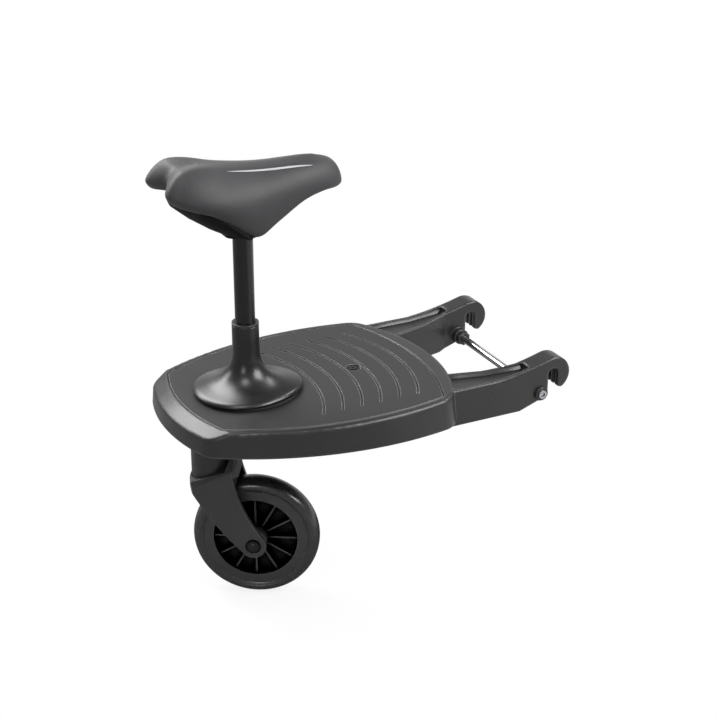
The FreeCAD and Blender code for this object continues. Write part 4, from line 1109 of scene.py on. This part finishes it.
@dataclass(frozen=True)
class Softbox:
    """One rectangular studio lamp that faces the board."""

    name: str
    direction: Triple
    distance: float
    size: Pair
    power: float

    def build(self, target: Vector) -> None:
        """Hangs the lamp.

        Args:
            target: Point that it faces, in metres.
        """
        lamp = bpy.data.lights.new(self.name, "AREA")
        lamp.shape = "RECTANGLE"
        lamp.size, lamp.size_y = self.size
        lamp.energy = self.power
        aim(self.name, lamp, target, Vector(self.direction).normalized(), self.distance)


@dataclass
class Studio:
    """White studio: camera, soft lamps, pale floor and white surroundings."""

    target: Triple = (-0.196, 0.0, 0.0158)
    azimuth: float = -26.78
    elevation: float = 24.11
    distance: float = 1.94
    lens: float = 85.0
    sensor: float = 36.0
    white: str = "#ffffff"
    floor_paint: str = "#f4f4f4"
    floor_size: float = 12.0
    floor_drop: float = 0.0005
    shadow_reach: Pair = (0.06, 0.2)
    shadow_share: float = 0.14
    ambient: float = 0.22
    wall_direction: Triple = (0.45, 0.89, -0.05)
    wall_edge: Pair = (0.8, 0.99)
    dim_wall: float = 0.32
    floor_edge: Pair = (-0.02, 0.16)
    floor_glow: Pair = (0.4, 0.85)
    shaded_place: Triple = (-0.2, 0.15, 0.0)
    shaded_reach: Pair = (0.15, 0.4)
    shaded_share: float = 0.1
    lamps: tuple[Softbox, ...] = (
        Softbox("rear_softbox", (-0.27, 0.62, 0.737), 1.9, (0.9, 1.3), 38.0),
        Softbox("left_softbox", (-0.57, 0.7, 0.4), 1.9, (0.8, 0.5), 7.0),
        Softbox("top_softbox", (-0.28, -0.3, 0.91), 1.6, (0.5, 0.5), 6.0),
        Softbox("front_left_softbox", (-0.65, -0.6, 0.41), 2.0, (0.5, 0.6), 5.0),
        Softbox("front_right_softbox", (0.55, -0.56, 0.61), 1.3, (0.8, 0.6), 16.0),
        Softbox("right_softbox", (0.72, 0.14, 0.68), 2.0, (0.5, 0.5), 7.0),
    )

    @staticmethod
    def rays(tree: NodeTree) -> tuple[NodeSocket, NodeSocket]:
        """Tells apart the rays that reach the studio.

        Args:
            tree: Node tree of the walls or the floor.

        Returns:
            Socket that is 1 where it is seen, and socket that is 1 where a piece mirrors it.
        """
        path = add_node(tree, "ShaderNodeLightPath")
        seen = add_node(tree, "ShaderNodeMath", {
            0: path.outputs["Is Camera Ray"], 1: path.outputs["Is Transmission Ray"]}, operation="MAXIMUM")
        return seen.outputs["Value"], path.outputs["Is Glossy Ray"]

    def surroundings(self) -> None:
        """Makes the studio's walls: white behind the board, dimmer on the side of the camera."""
        world = bpy.data.worlds.new("white_studio")
        tree = empty_tree(world)
        seen, glossy = self.rays(tree)
        looking = add_node(tree, "ShaderNodeTexCoord").outputs["Generated"]
        wall = Vector(self.wall_direction).normalized()
        facing = add_node(tree, "ShaderNodeVectorMath", {0: looking, 1: wall}, operation="DOT_PRODUCT")
        mirrored = add_node(tree, "ShaderNodeMapRange", {
            "Value": facing.outputs["Value"], **ends("From", self.wall_edge),
            **ends("To", (self.dim_wall, 1.0))})
        lit = add_node(tree, "ShaderNodeMix", {0: glossy, 2: self.ambient, 3: mirrored.outputs["Result"]})
        strength = add_node(tree, "ShaderNodeMix", {0: seen, 2: lit.outputs[0], 3: 1.0})
        walls = add_node(tree, "ShaderNodeBackground", {
            "Color": linear(self.white), "Strength": strength.outputs[0]})
        add_node(tree, "ShaderNodeOutputWorld", {"Surface": walls.outputs["Background"]})
        bpy.context.scene.world = world

    def floor(self) -> None:
        """Lays the white floor under the wheel, which takes the shadow near the board."""
        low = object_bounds()[0][2]
        clear_selection()
        bpy.ops.mesh.primitive_plane_add(size=self.floor_size)
        plane = bpy.context.object
        plane.name = "studio_floor"
        plane.location = (0, 0, low - self.floor_drop)
        material = bpy.data.materials.new("white_painted_floor")
        tree = empty_tree(material)
        seen, glossy = self.rays(tree)
        place = add_node(tree, "ShaderNodeTexCoord").outputs["Object"]
        wheel = joint(WHEEL_JOINT)
        reach = add_node(tree, "ShaderNodeVectorMath", {
            0: place, 1: (wheel["pos_m"][0], wheel["pos_m"][1], 0.0)}, operation="DISTANCE")
        white = add_node(tree, "ShaderNodeMapRange", {
            "Value": reach.outputs["Value"], **ends("From", self.shadow_reach),
            **ends("To", (1 - self.shadow_share, 1.0))}, interpolation_type="SMOOTHSTEP")
        shown = add_node(tree, "ShaderNodeMath", {0: seen, 1: white.outputs["Result"]}, operation="MULTIPLY")
        share = add_node(tree, "ShaderNodeMath", {0: shown.outputs["Value"], 1: glossy}, operation="MAXIMUM")
        # Painted reflection: seen in a piece, the floor glows rather than being lit, brighter towards +x, and a
        # painted shadow dims that glow under the board
        along = add_node(tree, "ShaderNodeSeparateXYZ", {0: place})
        mirrored = add_node(tree, "ShaderNodeMapRange", {
            "Value": along.outputs["X"], **ends("From", self.floor_edge), **ends("To", self.floor_glow)})
        beneath = add_node(tree, "ShaderNodeVectorMath", {0: place, 1: self.shaded_place},
                           operation="DISTANCE")
        shaded = add_node(tree, "ShaderNodeMapRange", {
            "Value": beneath.outputs["Value"], **ends("From", self.shaded_reach),
            **ends("To", (self.shaded_share, 1.0))})
        dimmed = add_node(tree, "ShaderNodeMath", {
            0: mirrored.outputs["Result"], 1: shaded.outputs["Result"]}, operation="MULTIPLY")
        strength = add_node(tree, "ShaderNodeMix", {0: glossy, 2: 1.0, 3: dimmed.outputs["Value"]})
        paint = add_node(tree, "ShaderNodeBsdfDiffuse", {"Color": linear(self.floor_paint)})
        glow = add_node(tree, "ShaderNodeEmission", {
            "Color": linear(self.white), "Strength": strength.outputs[0]})
        both = add_node(tree, "ShaderNodeMixShader",
                        {0: share.outputs["Value"], 1: paint.outputs["BSDF"], 2: glow.outputs["Emission"]})
        add_node(tree, "ShaderNodeOutputMaterial", {"Surface": both.outputs["Shader"]})
        plane.data.materials.append(material)
        plane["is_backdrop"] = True

    def camera(self) -> None:
        """Sets the camera at the photograph's viewing angle."""
        turn, rise = math.radians(self.azimuth), math.radians(self.elevation)
        back = Vector((math.sin(turn) * math.cos(rise), -math.cos(turn) * math.cos(rise), math.sin(rise)))
        data = bpy.data.cameras.new("photograph_view")
        data.lens = self.lens
        data.sensor_width = self.sensor
        bpy.context.scene.camera = aim(data.name, data, Vector(self.target), back, self.distance)

    def build(self) -> None:
        """Makes the whole studio."""
        bpy.context.scene.view_settings.view_transform = "Standard"
        self.surroundings()
        self.floor()
        for lamp in self.lamps:
            lamp.build(Vector(self.target))
        self.camera()


def main() -> None:
    """Dresses the frame, builds the new pieces and sets up the studio."""
    logging.basicConfig(level=logging.INFO, format="%(name)s: %(message)s")
    wardrobe = Wardrobe()
    wardrobe.dress_frame()
    for assembly in (SeatBoot(), Tyre(), AxleCap(), TroughRails(), Saddle()):
        for piece in assembly.build(wardrobe):
            LOG.info("new piece %s, %d faces", piece.name, len(piece.data.polygons))
    Studio().build()


if __name__ == "__main__":
    main()
